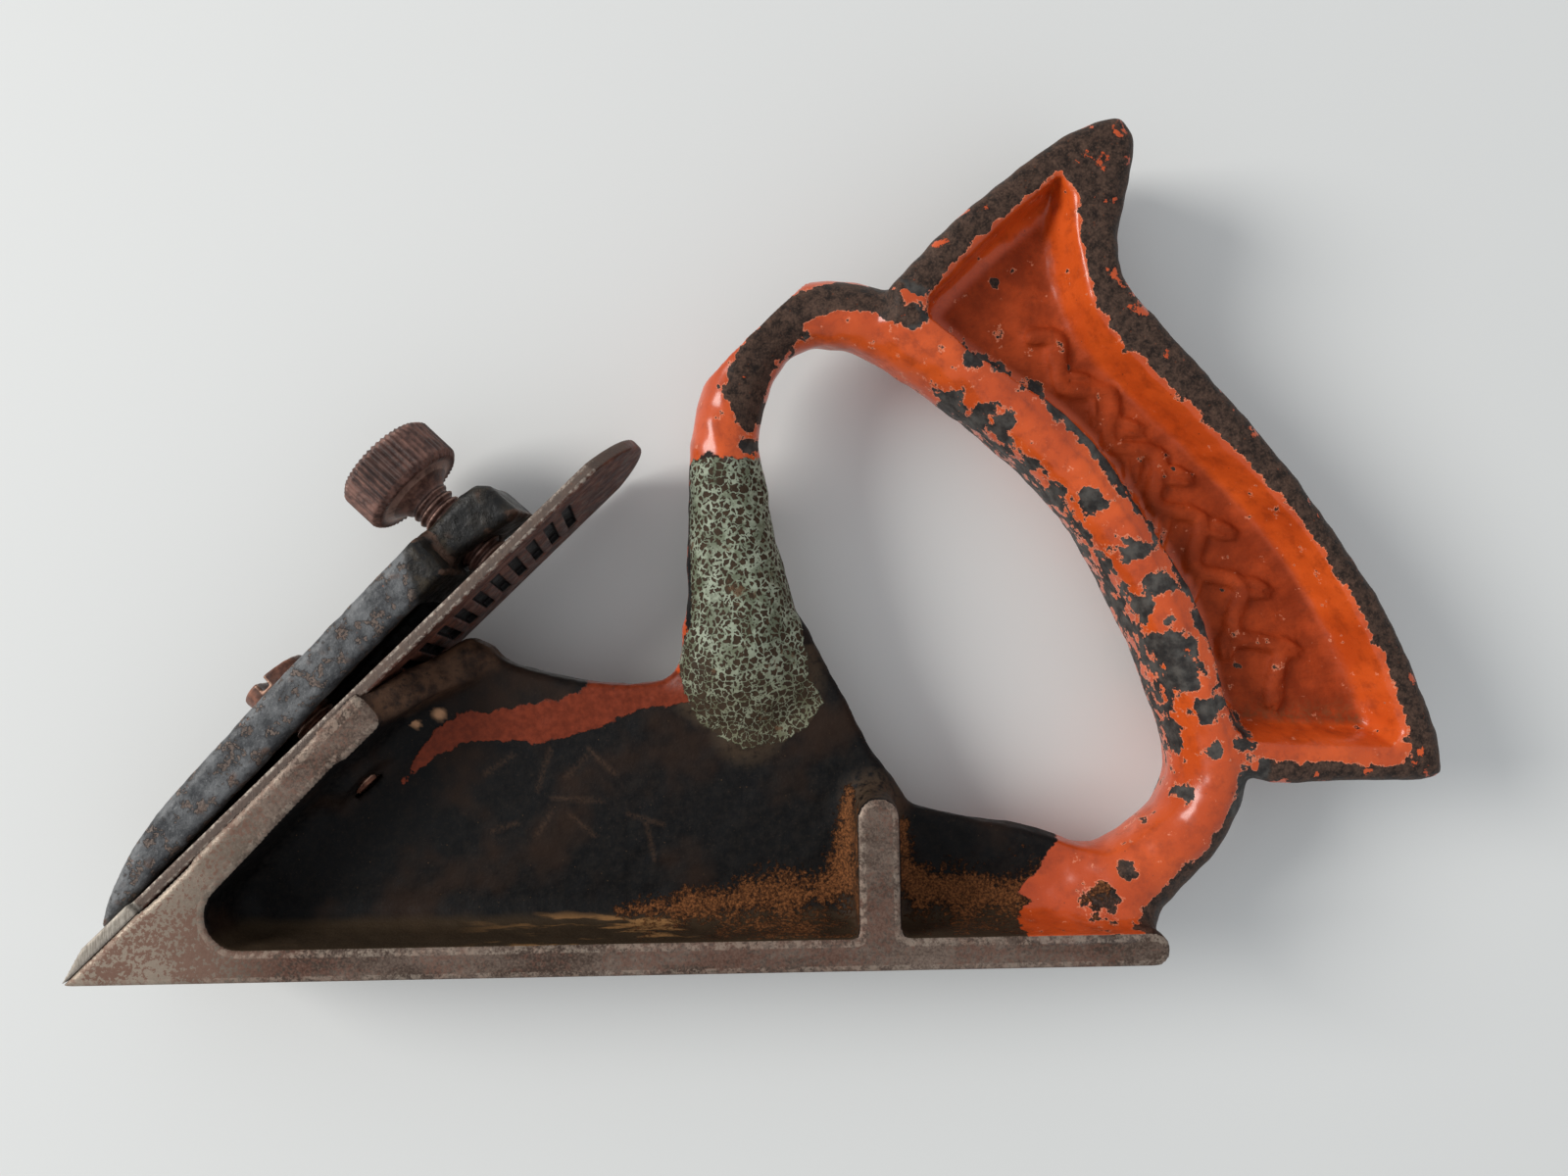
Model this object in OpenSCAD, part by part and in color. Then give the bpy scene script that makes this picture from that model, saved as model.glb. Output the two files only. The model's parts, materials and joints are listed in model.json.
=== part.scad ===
// Edge plane with an open cast handle: a low-angle cutting iron at the very nose of the body,
// held down by a lever cap and its thumbscrew.
// +X runs from the cutting edge to the heel, Z is up, and the sole's centre is the origin.

/* [Body casting] */
// Length of the sole
sole_len = 177.8; // [165:1:215]
// Width of the body, across both machined sides
body_w = 31.75; // [27:0.25:40]
// Thickness of the sole
sole_t = 5.3; // [4.5:0.1:6.5]
// Thickness of the upright web in the middle of the body
web_t = 6; // [4:0.1:8]
// Radius of the round inner corner of the pocket, behind the nose
pocket_r = 5.6; // [4.5:0.1:6.5]
// Distance from the nose to the centre of that round corner
pocket_dx = 28.5; // [27:0.5:31]
// Radius of the sole's corners at the heel
heel_r = 1.4; // [0.5:0.1:2]

/* [Bed] */
// Angle of the bed to the sole, in degrees
bed_angle = 43; // [41:0.5:44]
// Length of the full-width bed, from the cutting edge
bed_len = 66.5; // [63:0.5:70]
// Thickness of the bed's flange
bed_t = 5.6; // [4.5:0.1:6.5]
// Height of the lips beside the iron, at the top end of the bed
lip_h = 0.9; // [0.4:0.1:1.4]
// Width of the lower edge of the nose, ahead of which the cutting edge stands
edge_lead = 0.4; // [0.2:0.1:0.6]
// Radius of the boss under the bed that takes the cap screw
bed_boss_r = 7; // [6.5:0.1:8]
// Height of that boss below the bed's upper face
bed_boss_h = 8.2; // [7:0.1:9]

/* [Ribs] */
// Width of the stiffening rib on each side
rib_w = 6.8; // [5:0.1:9]
// Height of the ribs above the sole's face
rib_h = 27.8; // [24:0.1:30]
// Distance of the ribs from the heel end of the sole
rib_dx = 46.4; // [44:0.5:48]

/* [Handle] */
// Thickness of the grip
grip_t = 21; // [18:0.5:25]
// Thickness of the panel inside the grip
panel_t = 5; // [4:0.1:6]
// Rounding of the grip's edges
grip_edge_r = 3; // [2:0.1:3.2]

/* [Cutting iron] */
// Thickness of the iron
iron_t = 2.05; // [1.6:0.05:2.6]
// Length of the iron
iron_len = 127; // [120:1:130]
// Width of the narrow upper part of the iron
iron_narrow_w = 28.6; // [23:0.1:29]
// Length of the full-width cutting part
iron_wide_len = 17; // [14:0.5:17.5]
// Length of the bevel, measured along the iron
bevel_len = 6.7; // [4:0.1:9]
// Height of the rounded top end
iron_round_h = 8; // [5:0.5:12]
// First adjusting notch, nearest the top, from the cutting edge
notch_top_s = 109.7; // [106:0.5:113]
// Distance from notch to notch
notch_pitch = 4.15; // [3.8:0.05:4.6]
// Number of notches
notch_count = 10; // [6:1:10]
// Length of a notch across the iron
notch_len = 15.5; // [12:0.5:18]
// Width of a notch along the iron
notch_w = 1.8; // [1.2:0.1:2.4]
// Depth of a notch
notch_d = 1.1; // [0.5:0.1:1.3]
// Lower end of the iron's slot, from the cutting edge
iron_slot_s = 37.5; // [34:0.5:38]

/* [Lever cap] */
// Width of the cap's bar
cap_w = 26; // [22:0.5:28]
// Rise of the cap's rounded top, from its edges to its middle
cap_crown = 1.4; // [0.6:0.1:2]
// Width of the square boss at the cap's top end
cap_boss_w = 15; // [13:0.5:18]
// Wall left around the hollow under the cap
cap_wall = 3; // [2.5:0.1:3.5]
// Corner cut of the square boss, seen from above
cap_boss_corner = 2; // [1:0.1:3]
// How far the cap slides up its keyhole until the screw head comes free
cap_travel = 9; // [8:0.5:10]

/* [Screws] */
// Outer diameter of both threads
thread_d = 7.94; // [6.5:0.02:9]
// Diameter of the cap screw's head
cap_head_d = 12; // [11:0.1:14]
// Height of the cap screw's head
cap_head_h = 3.6; // [3:0.1:5]
// Width of the slot in the cap screw's head
driver_slot_w = 1.6; // [1:0.1:2.2]
// Depth of the slot in the cap screw's head
driver_slot_d = 1.9; // [1:0.1:2.4]
// Place of the cap screw, from the cutting edge
cap_screw_s = 53.3; // [52:0.1:54]
// How far the cap screw reaches below the bed's upper face
cap_screw_below = 9.4; // [8.5:0.1:12]
// Diameter of the thumbscrew's knurled knob
knob_d = 19.05; // [16:0.05:23]
// Thickness of the knob
knob_t = 8.6; // [6:0.1:10]
// Height of the knob's underside above the iron
knob_z = 19.5; // [18:0.1:23]
// Bevel around both faces of the knob
knob_bevel = 1.1; // [0.5:0.1:1.6]
// Place of the thumbscrew's tip on the iron, from the cutting edge
thumb_s = 94.9; // [94.5:0.1:98]
// Lean of the thumbscrew away from the bed's normal, in degrees
thumb_lean = 3; // [0:0.5:4]

/* [Clearances] */
// Radial clearance of each thread in its hole
thread_clear = 0.05; // [0.02:0.01:0.1]
// Side clearance of the iron between the bed's lips
lip_clear = 0.4; // [0.2:0.05:0.6]
// Side clearance of the cap screw in the iron's slot and in the cap's keyhole
slot_clear = 0.4; // [0.3:0.05:0.8]
// Gap between the iron and what bears on it
bearing_gap = 0.1; // [0.05:0.05:0.2]
// Gap between the screw's head and the cap
head_gap = 0.2; // [0.1:0.05:0.4]

/* [Hidden] */

nose_x = -sole_len / 2;
heel_x = sole_len / 2;
edge_x = nose_x - edge_lead;
half_w = body_w / 2;
thread_r = thread_d / 2;
slot_w = thread_d + 2 * slot_clear;
over = 1;            // how far a cut runs past the face that it opens
ring_n = 14;         // sides of a swept bar
round_fn = 64;

// ---- curves -------------------------------------------------------------------------------

// Point between b and c on the smooth curve through a, b, c and d
function between(a, b, c, d, t) =
    0.5 * (2 * b + (c - a) * t + (2 * a - 5 * b + 4 * c - d) * t * t
           + (3 * b - a - 3 * c + d) * t * t * t);

// Smooth open curve through all the points of p
function smooth(p, n) = [
    for (i = [0 : len(p) - 2])
        for (j = [0 : n - 1])
            between(p[max(i - 1, 0)], p[i], p[i + 1], p[min(i + 2, len(p) - 1)], j / n),
    p[len(p) - 1]
];

// Arc about c from angle a to angle b
function arc(c, r, a, b, n = 8) = [
    for (i = [0 : n]) let (t = a + (b - a) * i / n) c + r * [cos(t), sin(t)]
];

function unit(v) = v / max(norm(v), 1e-6);

// Outline p, which turns anticlockwise, moved inwards by d
function inset(p, d) = [
    for (i = [0 : len(p) - 1])
        let (t = unit(p[(i + 1) % len(p)] - p[(i + len(p) - 1) % len(p)])) p[i] + d * [-t[1], t[0]]
];

// A side outline in X and Z, stood upright and given the thickness w across the body
module across(w) {
    rotate([90, 0, 0]) linear_extrude(height = w, center = true) children();
}

// Solid through a row of outlines of equal count: each ring is [outline, y], and y falls
module loft(rings) {
    m = len(rings[0][0]);
    last = len(rings) - 1;
    points = [for (r = rings) for (p = r[0]) [p[0], r[1], p[1]]];
    sides = [
        for (k = [0 : last - 1]) for (i = [0 : m - 1])
            let (a = k * m + i, b = k * m + (i + 1) % m) each [[a, b + m, b], [a, a + m, b + m]]
    ];
    ends = [[for (i = [0 : m - 1]) i], [for (i = [m - 1 : -1 : 0]) last * m + i]];
    polyhedron(points, concat(ends, sides));
}

// Round bar along a row of stations [x, z, half width in the side view, half width across]
module bar(stations) {
    s = smooth(stations, 2);
    last = len(s) - 1;
    points = [
        for (i = [0 : last])
            let (ahead = s[min(i + 1, last)], behind = s[max(i - 1, 0)],
                 t = unit([ahead[0] - behind[0], ahead[1] - behind[1]]))
            for (k = [0 : ring_n - 1])
                let (a = 360 * k / ring_n)
                [s[i][0] - t[1] * s[i][2] * cos(a), s[i][3] * sin(a), s[i][1] + t[0] * s[i][2] * cos(a)]
    ];
    sides = [
        for (i = [0 : last - 1]) for (k = [0 : ring_n - 1])
            let (a = i * ring_n + k, b = i * ring_n + (k + 1) % ring_n)
            each [[a, b, b + ring_n], [a, b + ring_n, a + ring_n]]
    ];
    polyhedron(points, concat(
        [[for (k = [ring_n - 1 : -1 : 0]) k]], sides, [[for (k = [0 : ring_n - 1]) last * ring_n + k]]));
}

// ---- places -------------------------------------------------------------------------------

// The bed's own frame: X up the bed from the cutting edge, Z square to it
module on_bed() {
    translate([edge_x, 0, 0]) rotate([0, -bed_angle, 0]) children();
}

// Side-view point of the body at s up the bed and n above it
function from_bed(s, n) = [
    edge_x + s * cos(bed_angle) - n * sin(bed_angle),
    s * sin(bed_angle) + n * cos(bed_angle)
];

// Side-view points of the handle, measured from the heel end of the sole
function from_heel(p) = [for (q = p) [heel_x + q[0], q[1]]];

// The thumbscrew's frame: Z along its axis from the iron's upper face
module on_thumb_axis() {
    on_bed() translate([thumb_s, 0, iron_t]) rotate([0, -thumb_lean, 0]) children();
}

// ---- body casting -------------------------------------------------------------------------

// Full-width outline: sole, nose and bed, with the pocket's round corner
function frame_outline() =
    let (corner = [nose_x + pocket_dx, sole_t + pocket_r])
    concat(
        [[nose_x, 0]],
        arc([heel_x - heel_r, heel_r], heel_r, -90, 0, 3),
        arc([heel_x - heel_r, sole_t - heel_r], heel_r, 0, 90, 3),
        arc(corner, pocket_r, 270, 90 + bed_angle, 10),
        [
            from_bed(bed_len - 1.5, lip_h - bed_t),
            from_bed(bed_len - 0.3, lip_h - bed_t + 1.3),
            from_bed(bed_len, lip_h),
            from_bed(iron_wide_len + 13, 0),
            from_bed(iron_wide_len + 11, -0.4),
            from_bed(iron_wide_len + 2, -0.4),
            from_bed(iron_wide_len, 0),
            from_bed(edge_lead / cos(bed_angle), 0)
        ]);

// Tail of the bed, which falls away and narrows into the web
module bed_tail() {
    intersection() {
        on_bed() across(body_w)
            polygon([[bed_len - 8, 0], [bed_len, 0], [bed_len + 7, -0.8], [bed_len + 15.4, -3.8],
                     [bed_len + 16.5, -6.5], [bed_len + 13, -8.8], [bed_len, -5.4], [bed_len - 8, -5]]);
        on_bed() translate([0, 0, -20]) linear_extrude(height = 30)
            polygon([[bed_len - 10, -half_w], [bed_len - 1, -half_w], [bed_len + 5, -half_w + 3.6],
                     [bed_len + 11, -half_w + 9], [bed_len + 18, -web_t / 2],
                     [bed_len + 18, web_t / 2], [bed_len + 11, half_w - 9],
                     [bed_len + 5, half_w - 3.6], [bed_len - 1, half_w], [bed_len - 10, half_w]]);
    }
}

// Web outline: sole, lower rim of the finger opening, foot of the column, valley, bed
function web_outline() = concat(
    [[nose_x + 14, sole_t / 2], [heel_x - 8, sole_t / 2]],
    smooth(from_heel([[-6, 12], [-10, 15.6], [-17.3, 18.6], [-34.3, 22.5], [-41.2, 25.2],
                      [-46.9, 34.2], [-52.4, 45.6], [-58, 54]]), 3),
    from_heel([[-68, 60]]),
    smooth(concat(from_heel([[-77.2, 55], [-77.7, 50.4], [-82.2, 46.5], [-93.8, 46.1]]),
                  [from_bed(86.3, -14), from_bed(84.2, -9.6), from_bed(82.3, -4.1)]), 3),
    [from_bed(bed_len, -3)]);

// Stations of the column, the arch and the front bar of the grip, down to the heel
handle_stations = [
    [-67.5, 36, 3, 2.8], [-67.8, 41, 8.6, 6], [-67.7, 46.5, 10, 8.2], [-68, 53, 9.7, 8.7],
    [-68.8, 61.5, 8.7, 8.2], [-69.9, 70, 7.6, 7.4], [-70.6, 81, 6.5, 6.6], [-70.5, 89, 5.8, 6.2],
    [-67.6, 99, 5.6, 6.1], [-63.2, 105.3, 5.5, 6.3], [-57.4, 108.5, 5.6, 6.7], [-51.3, 109, 5.8, 7.2],
    [-45.5, 107.7, 5.9, 8], [-38.4, 104.3, 6.1, 9.4], [-25.7, 95.1, 6.2, 10.5], [-11.4, 81.6, 6.2, 10.5],
    [0, 64.6, 6.2, 10.5], [7.8, 45.5, 6.2, 10.5], [11.7, 31, 6.3, 10.2], [8.4, 20.7, 6.3, 9.4],
    [2.6, 14.8, 6.8, 8.8], [-3, 10, 7.6, 8.4], [-8, 5.5, 7, 8]
];

// Outline of the grip, anticlockwise from the lower end of the front bar
grip_points = concat(
    [[20, 27.8], [44.6, 27.8]],
    smooth([[46.6, 28.2], [48, 30.4], [46, 40.1], [39.4, 55.3], [28.4, 73.6], [15.2, 90.5],
            [5.4, 102], [-1.8, 110.4], [-4.1, 117.5], [-2.9, 125.4], [-1.1, 134], [-2.2, 137.8],
            [-4.9, 139.3], [-13.5, 136], [-26.8, 126.4], [-38.5, 115.6], [-42.5, 111.5]], 4),
    smooth([[-43.3, 105.6], [-39.4, 103], [-26.7, 93.8], [-12.7, 80.6], [-1.5, 63.8],
            [6.2, 44.9], [10.1, 31]], 3));

// Rim of the recess in the grip, anticlockwise from its lower corner by the front bar
recess_points = concat(
    smooth([[15.8, 34.8], [27.6, 34.2], [38.8, 34]], 2),
    smooth([[41, 36.4], [36.4, 49.5], [27.6, 66], [14.5, 81.9], [-5.7, 102.6],
            [-10.9, 114.2], [-12, 125.6]], 4),
    smooth([[-14, 128.4], [-17.4, 127.2], [-27.8, 117.6], [-34.6, 110.6]], 3),
    smooth([[-35.4, 107.2], [-28.2, 99.7], [-12.1, 88.2], [-0.6, 72.5], [7.4, 57.5], [11.5, 42.5]], 4),
    [[13.2, 37.2]]);

module grip() {
    outline = from_heel(grip_points);
    steps = [for (a = [0 : 30 : 90]) [grip_edge_r * (1 - cos(a)), grip_t / 2 - grip_edge_r * (1 - sin(a))]];
    loft(concat([for (k = [3 : -1 : 0]) [inset(outline, steps[k][0]), steps[k][1]]],
                [for (k = [0 : 3]) [inset(outline, steps[k][0]), -steps[k][1]]]));
}

// Hollow with sloped walls on one side of the grip's panel
module recess() {
    rim = from_heel(recess_points);
    depth = (grip_t - panel_t) / 2;
    top = grip_t / 2;
    loft([
        [inset(rim, -0.4), top + over],
        [inset(rim, 0.4), top - 0.1 * depth],
        [inset(rim, 1.6), top - 0.75 * depth],
        [inset(rim, 2.4), top - depth]
    ]);
}

module body_casting() {
    color("orangered")
    difference() {
        union() {
            across(body_w) polygon(frame_outline());
            across(web_t) polygon(web_outline());
            bed_tail();
            on_bed() translate([cap_screw_s, 0, -bed_boss_h])
                cylinder(h = bed_boss_h - 0.5, r = bed_boss_r, $fn = round_fn);
            translate([heel_x - rib_dx, 0, 0]) {
                across(body_w) translate([-rib_w / 2, sole_t / 2])
                    square([rib_w, rib_h - rib_w / 2 - sole_t / 2]);
                translate([0, 0, rib_h - rib_w / 2]) rotate([90, 0, 0])
                    cylinder(h = body_w, r = rib_w / 2, center = true, $fn = round_fn);
            }
            bar([for (s = handle_stations) [heel_x + s[0], s[1], s[2], s[3]]]);
            grip();
        }
        recess();
        mirror([0, 1, 0]) recess();
        // channel between the lips
        on_bed() translate([iron_wide_len + 5, -iron_narrow_w / 2 - lip_clear, 0])
            cube([bed_len, iron_narrow_w + 2 * lip_clear, lip_h + over]);
        // hole for the cap screw
        on_bed() translate([cap_screw_s, 0, -cap_screw_below - over])
            cylinder(h = cap_screw_below + 2 * over, r = thread_r + thread_clear, $fn = round_fn);
        // everything below the sole's face
        translate([nose_x - over, -body_w, -body_w]) cube([sole_len + 2 * over, 2 * body_w, body_w]);
    }
}

// ---- plane iron ---------------------------------------------------------------------------

// Half outline of the iron's upper end, from the side to the tip
function iron_end(w) =
    let (h = iron_round_h, r = (w * w / 4 + h * h) / (2 * h), a = asin(w / 2 / r))
    [for (i = [0 : 12]) [iron_len - r + r * cos(a - 2 * a * i / 12), -r * sin(a - 2 * a * i / 12)]];

module plane_iron() {
    color("silver")
    on_bed() difference() {
        linear_extrude(height = iron_t) polygon(concat(
            [[iron_wide_len, half_w], [0, half_w], [0, -half_w], [iron_wide_len, -half_w],
             [iron_wide_len, -iron_narrow_w / 2]],
            iron_end(iron_narrow_w),
            [[iron_wide_len, iron_narrow_w / 2]]));
        // bevel on the upper face
        across(body_w + 2 * over)
            polygon([[0, 0], [bevel_len, iron_t], [bevel_len, iron_t + over],
                     [-over, iron_t + over], [-over, 0]]);
        // slot for the cap screw
        for (s = [iron_slot_s + slot_w / 2, cap_screw_s + cap_screw_s - iron_slot_s - slot_w / 2])
            translate([s, 0, -over]) cylinder(h = iron_t + 2 * over, r = slot_w / 2, $fn = round_fn);
        translate([iron_slot_s + slot_w / 2, -slot_w / 2, -over])
            cube([2 * (cap_screw_s - iron_slot_s) - slot_w, slot_w, iron_t + 2 * over]);
        // adjusting notches in the under face
        for (k = [0 : notch_count - 1])
            translate([notch_top_s - k * notch_pitch - notch_w / 2, -notch_len / 2, -over])
                cube([notch_w, notch_len, notch_d + over]);
    }
}

// ---- lever cap ----------------------------------------------------------------------------

// Upper and lower side of the cap's bar at its edges, from the nose to the boss: [s, height above the iron]
cap_top_line = [
    [9.5, 1], [13.3, 3.4], [19.6, 5.9], [27, 7.5], [36, 8.4], [45, 9], [60, 9.8], [75, 10.4], [90, 10.9]
];
cap_low_line = [[90, 3.6], [72, 3.2], [60, 2.8], [47, 1.9], [27.4, 1.3], [17.3, 0.8]];
cap_nose_s = 9.7;        // foremost point of the cap's bearing edge
cap_nose_len = 2.2;      // flat of the nose that bears on the iron

// Height of the cap's top at s up the bed, at its edges
function cap_top_at(s, k = 0) = s > cap_top_line[k + 1][0] && k < len(cap_top_line) - 2
    ? cap_top_at(s, k + 1)
    : cap_top_line[k][1] + (s - cap_top_line[k][0]) * (cap_top_line[k + 1][1] - cap_top_line[k][1])
        / (cap_top_line[k + 1][0] - cap_top_line[k][0]);

// Side outline of the cap's bar where the crown adds c of its full rise
function cap_outline(c) = concat(
    [[cap_nose_s, bearing_gap], [cap_nose_s + cap_nose_len, bearing_gap]],
    smooth([for (k = [len(cap_low_line) - 1 : -1 : 0]) cap_low_line[k]], 2),
    smooth([for (k = [len(cap_top_line) - 1 : -1 : 0])
        cap_top_line[k] + [0, c * cap_crown * min(1, cap_top_line[k][1] / 8)]], 3));

// Frame of the cap: the iron's upper face
module on_iron() { on_bed() translate([0, 0, iron_t]) children(); }

module cap_bar() {
    half = cap_w / 2;
    loft([for (y = [1, 0.9, 0.7, 0.4, 0, -0.4, -0.7, -0.9, -1]) [cap_outline(1 - y * y), y * half]]);
}

module cap_boss() {
    corner = cap_boss_corner;
    half = cap_boss_w / 2;
    top = 12.4;
    intersection() {
        across(cap_boss_w)
            polygon([[85, 5.4], [92, 5.2], [103.3, 3.2], [104.9, 3.4], [104.3, top - 2.4], [102.7, top - 0.6],
                     [99.5, top], [86, top - 0.4]]);
        linear_extrude(height = 2 * top)
            polygon([[84, -half], [105 - corner, -half], [105, -half + corner],
                     [105, half - corner], [105 - corner, half], [84, half]]);
    }
}

module lever_cap() {
    head_r = cap_head_d / 2 + slot_clear;
    color("slategray")
    difference() {
        on_iron() union() {
            cap_bar();
            cap_boss();
        }
        // hollow under the bar
        on_iron() across(cap_w - 2 * cap_wall) polygon(concat(
            [[22, -over], [84, -over]],
            [for (s = [84 : -7.75 : 22]) [s, cap_top_at(s) - cap_wall]]));
        // keyhole: narrow end on the screw, wide end towards the nose
        on_iron() {
            for (s = [cap_screw_s, cap_screw_s - cap_travel])
                translate([s, 0, 0]) cylinder(h = 20, r = slot_w / 2, $fn = round_fn);
            translate([cap_screw_s - cap_travel, -slot_w / 2, 0]) cube([cap_travel, slot_w, 20]);
            translate([cap_screw_s - cap_travel, 0, 0]) cylinder(h = 20, r = head_r, $fn = round_fn);
        }
        // threaded hole for the thumbscrew
        on_thumb_axis() cylinder(h = 40, r = thread_r + thread_clear, $fn = round_fn, center = true);
    }
}

// ---- screws -------------------------------------------------------------------------------

module lever_cap_screw() {
    head_z = iron_t + cap_top_at(cap_screw_s + cap_head_d / 2) + cap_crown + head_gap;
    dome = cap_head_h / 3;
    color("sienna")
    on_bed() translate([cap_screw_s, 0, 0]) difference() {
        rotate_extrude($fn = round_fn) polygon([
            [0, -cap_screw_below], [thread_r - 0.8, -cap_screw_below], [thread_r, -cap_screw_below + 0.8],
            [thread_r, head_z], [cap_head_d / 2, head_z], [cap_head_d / 2, head_z + cap_head_h - dome],
            [cap_head_d / 2 - 0.6, head_z + cap_head_h - 0.5 * dome],
            [cap_head_d / 4, head_z + cap_head_h - 0.1 * dome], [0, head_z + cap_head_h]]);
        translate([-driver_slot_w / 2, -cap_head_d, head_z + cap_head_h - driver_slot_d])
            cube([driver_slot_w, 2 * cap_head_d, cap_head_h]);
    }
}

module thumbscrew() {
    knob_r = knob_d / 2;
    neck_r = knob_r - 2.2;       // where the hollow neck meets the knob's underside
    tip_r = thread_r - 1.2;
    tip = bearing_gap + tip_r * sin(thumb_lean);
    color("rosybrown")
    on_thumb_axis() rotate_extrude($fn = round_fn) polygon(concat(
        [[0, tip], [tip_r, tip], [thread_r, tip + 1.4], [thread_r, knob_z - 4.2]],
        smooth([[thread_r - 0.1, knob_z - 3.6], [thread_r + 0.6, knob_z - 1.6], [neck_r - 1.2, knob_z - 0.3],
                [neck_r, knob_z + 0.5]], 3),
        [[knob_r - knob_bevel, knob_z], [knob_r, knob_z + knob_bevel],
         [knob_r, knob_z + knob_t - knob_bevel], [knob_r - knob_bevel, knob_z + knob_t],
         [0, knob_z + knob_t]]));
}

body_casting();
plane_iron();
lever_cap();
lever_cap_screw();
thumbscrew();
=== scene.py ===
import json
import math
import bpy
import numpy as np
import openvdb
from mathutils import Matrix, Vector


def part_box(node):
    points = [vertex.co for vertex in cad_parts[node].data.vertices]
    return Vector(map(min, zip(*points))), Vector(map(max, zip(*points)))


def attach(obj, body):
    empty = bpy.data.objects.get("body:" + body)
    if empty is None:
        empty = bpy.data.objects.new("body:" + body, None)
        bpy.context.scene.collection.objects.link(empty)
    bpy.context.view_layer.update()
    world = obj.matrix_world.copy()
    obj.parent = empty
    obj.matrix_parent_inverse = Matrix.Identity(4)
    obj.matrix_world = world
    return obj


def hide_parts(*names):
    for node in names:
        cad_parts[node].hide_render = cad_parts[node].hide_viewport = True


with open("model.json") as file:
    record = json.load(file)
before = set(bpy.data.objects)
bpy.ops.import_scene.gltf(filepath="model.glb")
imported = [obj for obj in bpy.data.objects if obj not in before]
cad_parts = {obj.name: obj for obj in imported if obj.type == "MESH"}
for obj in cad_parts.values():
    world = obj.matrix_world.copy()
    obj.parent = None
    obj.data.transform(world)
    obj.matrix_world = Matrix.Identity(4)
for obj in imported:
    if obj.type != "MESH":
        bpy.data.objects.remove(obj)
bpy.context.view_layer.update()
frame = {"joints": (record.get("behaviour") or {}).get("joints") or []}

# ==== Sizes, in millimetres ====
# Each piece is drawn in its CAD node's place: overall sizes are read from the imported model.

MM = 0.001


def node_box(node):
    low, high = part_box(node)
    return low / MM, high / MM


def joint_axis(name):
    return Vector(next(j["axis"] for j in frame["joints"] if j["name"] == name))


BODY_LOW, BODY_HIGH = node_box("body_casting")
IRON_LOW, IRON_HIGH = node_box("plane_iron")
CAP_HIGH = node_box("lever_cap")[1]
HEEL_X = -BODY_LOW.x
HALF_WIDTH = IRON_HIGH.y
EDGE_X = IRON_LOW.x
BED_AXIS = joint_axis("iron_slide")
BED_ANGLE = math.atan2(BED_AXIS.z, BED_AXIS.x)
BED_COS, BED_SIN = math.cos(BED_ANGLE), math.sin(BED_ANGLE)

SOLE_T = 5.3              # sole thickness
HEEL_ROUND = 2.5          # round of the sole's heel end
POCKET_DX = 28.5          # from the nose to the middle of the pocket's round corner
POCKET_R = 5.6
WEB_T = 6.0
BED_LENGTH = 66.5
BED_T = 5.6
LIP_H = 0.9
RIB_DX = 46.4             # from the heel back to the middle of the rib
RIB_W = 6.8
RIB_H = 27.8
BOSS_R = 7.0              # boss under the bed, round the screw's hole
BOSS_DEPTH = 8.2
GRIP_T = 21.0
GRIP_ROUND = 3.0
PANEL_T = 5.0
IRON_T = 2.05
IRON_LENGTH = 127.0
IRON_WIDE_LENGTH = 17.0
IRON_NARROW_W = 28.6
IRON_BEVEL = 6.7
IRON_SLOT_S = 37.5
NOTCHES = 10              # adjusting notches across the iron's underside
NOTCH_TOP = 109.7
NOTCH_PITCH = 4.15
NOTCH_SLANT = 0.16
CAP_W = 2 * CAP_HIGH.y
CAP_CROWN = 1.4
CAP_WALL = 3.0
CAP_BOSS_W = 15.0
CAP_SCREW_S = 53.3
CAP_SCREW_BELOW = 9.4
CAP_TRAVEL = 9.0
HEAD_R = 6.0
HEAD_H = 3.6
THREAD_R = 3.97
THREAD_PITCH = 1.411
THREAD_DEPTH = 0.75
THUMB_S = 94.9
THUMB_LEAN = math.radians(3)
KNOB_R = 9.525
KNOB_T = 8.6
KNOB_Z = 19.5
KNURLS = 52

# ==== Curves ====


def smooth(points, steps):
    """Catmull-Rom curve through all the points, each a tuple of any length."""
    p = np.asarray(points, float)
    curve = []
    for i in range(len(p) - 1):
        a, b, c, d = p[max(i - 1, 0)], p[i], p[i + 1], p[min(i + 2, len(p) - 1)]
        for t in np.arange(steps) / steps:
            curve.append(0.5 * (2 * b + (c - a) * t + (2 * a - 5 * b + 4 * c - d) * t * t
                                + (3 * b - a - 3 * c + d) * t ** 3))
    return [tuple(q) for q in curve] + [tuple(p[-1])]


def arc(centre, radius, start, end, steps=10):
    angles = np.radians(np.linspace(start, end, steps + 1))
    return [(centre[0] + radius * math.cos(a), centre[1] + radius * math.sin(a)) for a in angles]


def from_bed(s, n):
    """Side-view point at s up the bed and n above it."""
    return (EDGE_X + s * BED_COS - n * BED_SIN, s * BED_SIN + n * BED_COS)


def from_heel(points):
    """Side-view points given from the heel end of the sole."""
    return [(HEEL_X + p[0],) + tuple(p[1:]) for p in points]


# ==== Fields: signed distances in millimetres, negative inside ====


def outline_distance(points, x, z):
    """Signed distance to a closed outline."""
    p = np.asarray(points, float)
    best = np.full(x.shape, 1e9)
    inside = np.zeros(x.shape, bool)
    for a, b in zip(p, np.roll(p, -1, axis=0)):
        e = b - a
        if not e.any():
            continue
        wx, wz = x - a[0], z - a[1]
        t = share((wx * e[0] + wz * e[1]) / (e @ e))
        best = np.minimum(best, (wx - t * e[0]) ** 2 + (wz - t * e[1]) ** 2)
        if a[1] != b[1]:
            inside ^= ((a[1] > z) != (b[1] > z)) & (x < a[0] + e[0] * (z - a[1]) / e[1])
    return np.where(inside, -1, 1) * np.sqrt(best)


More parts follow.
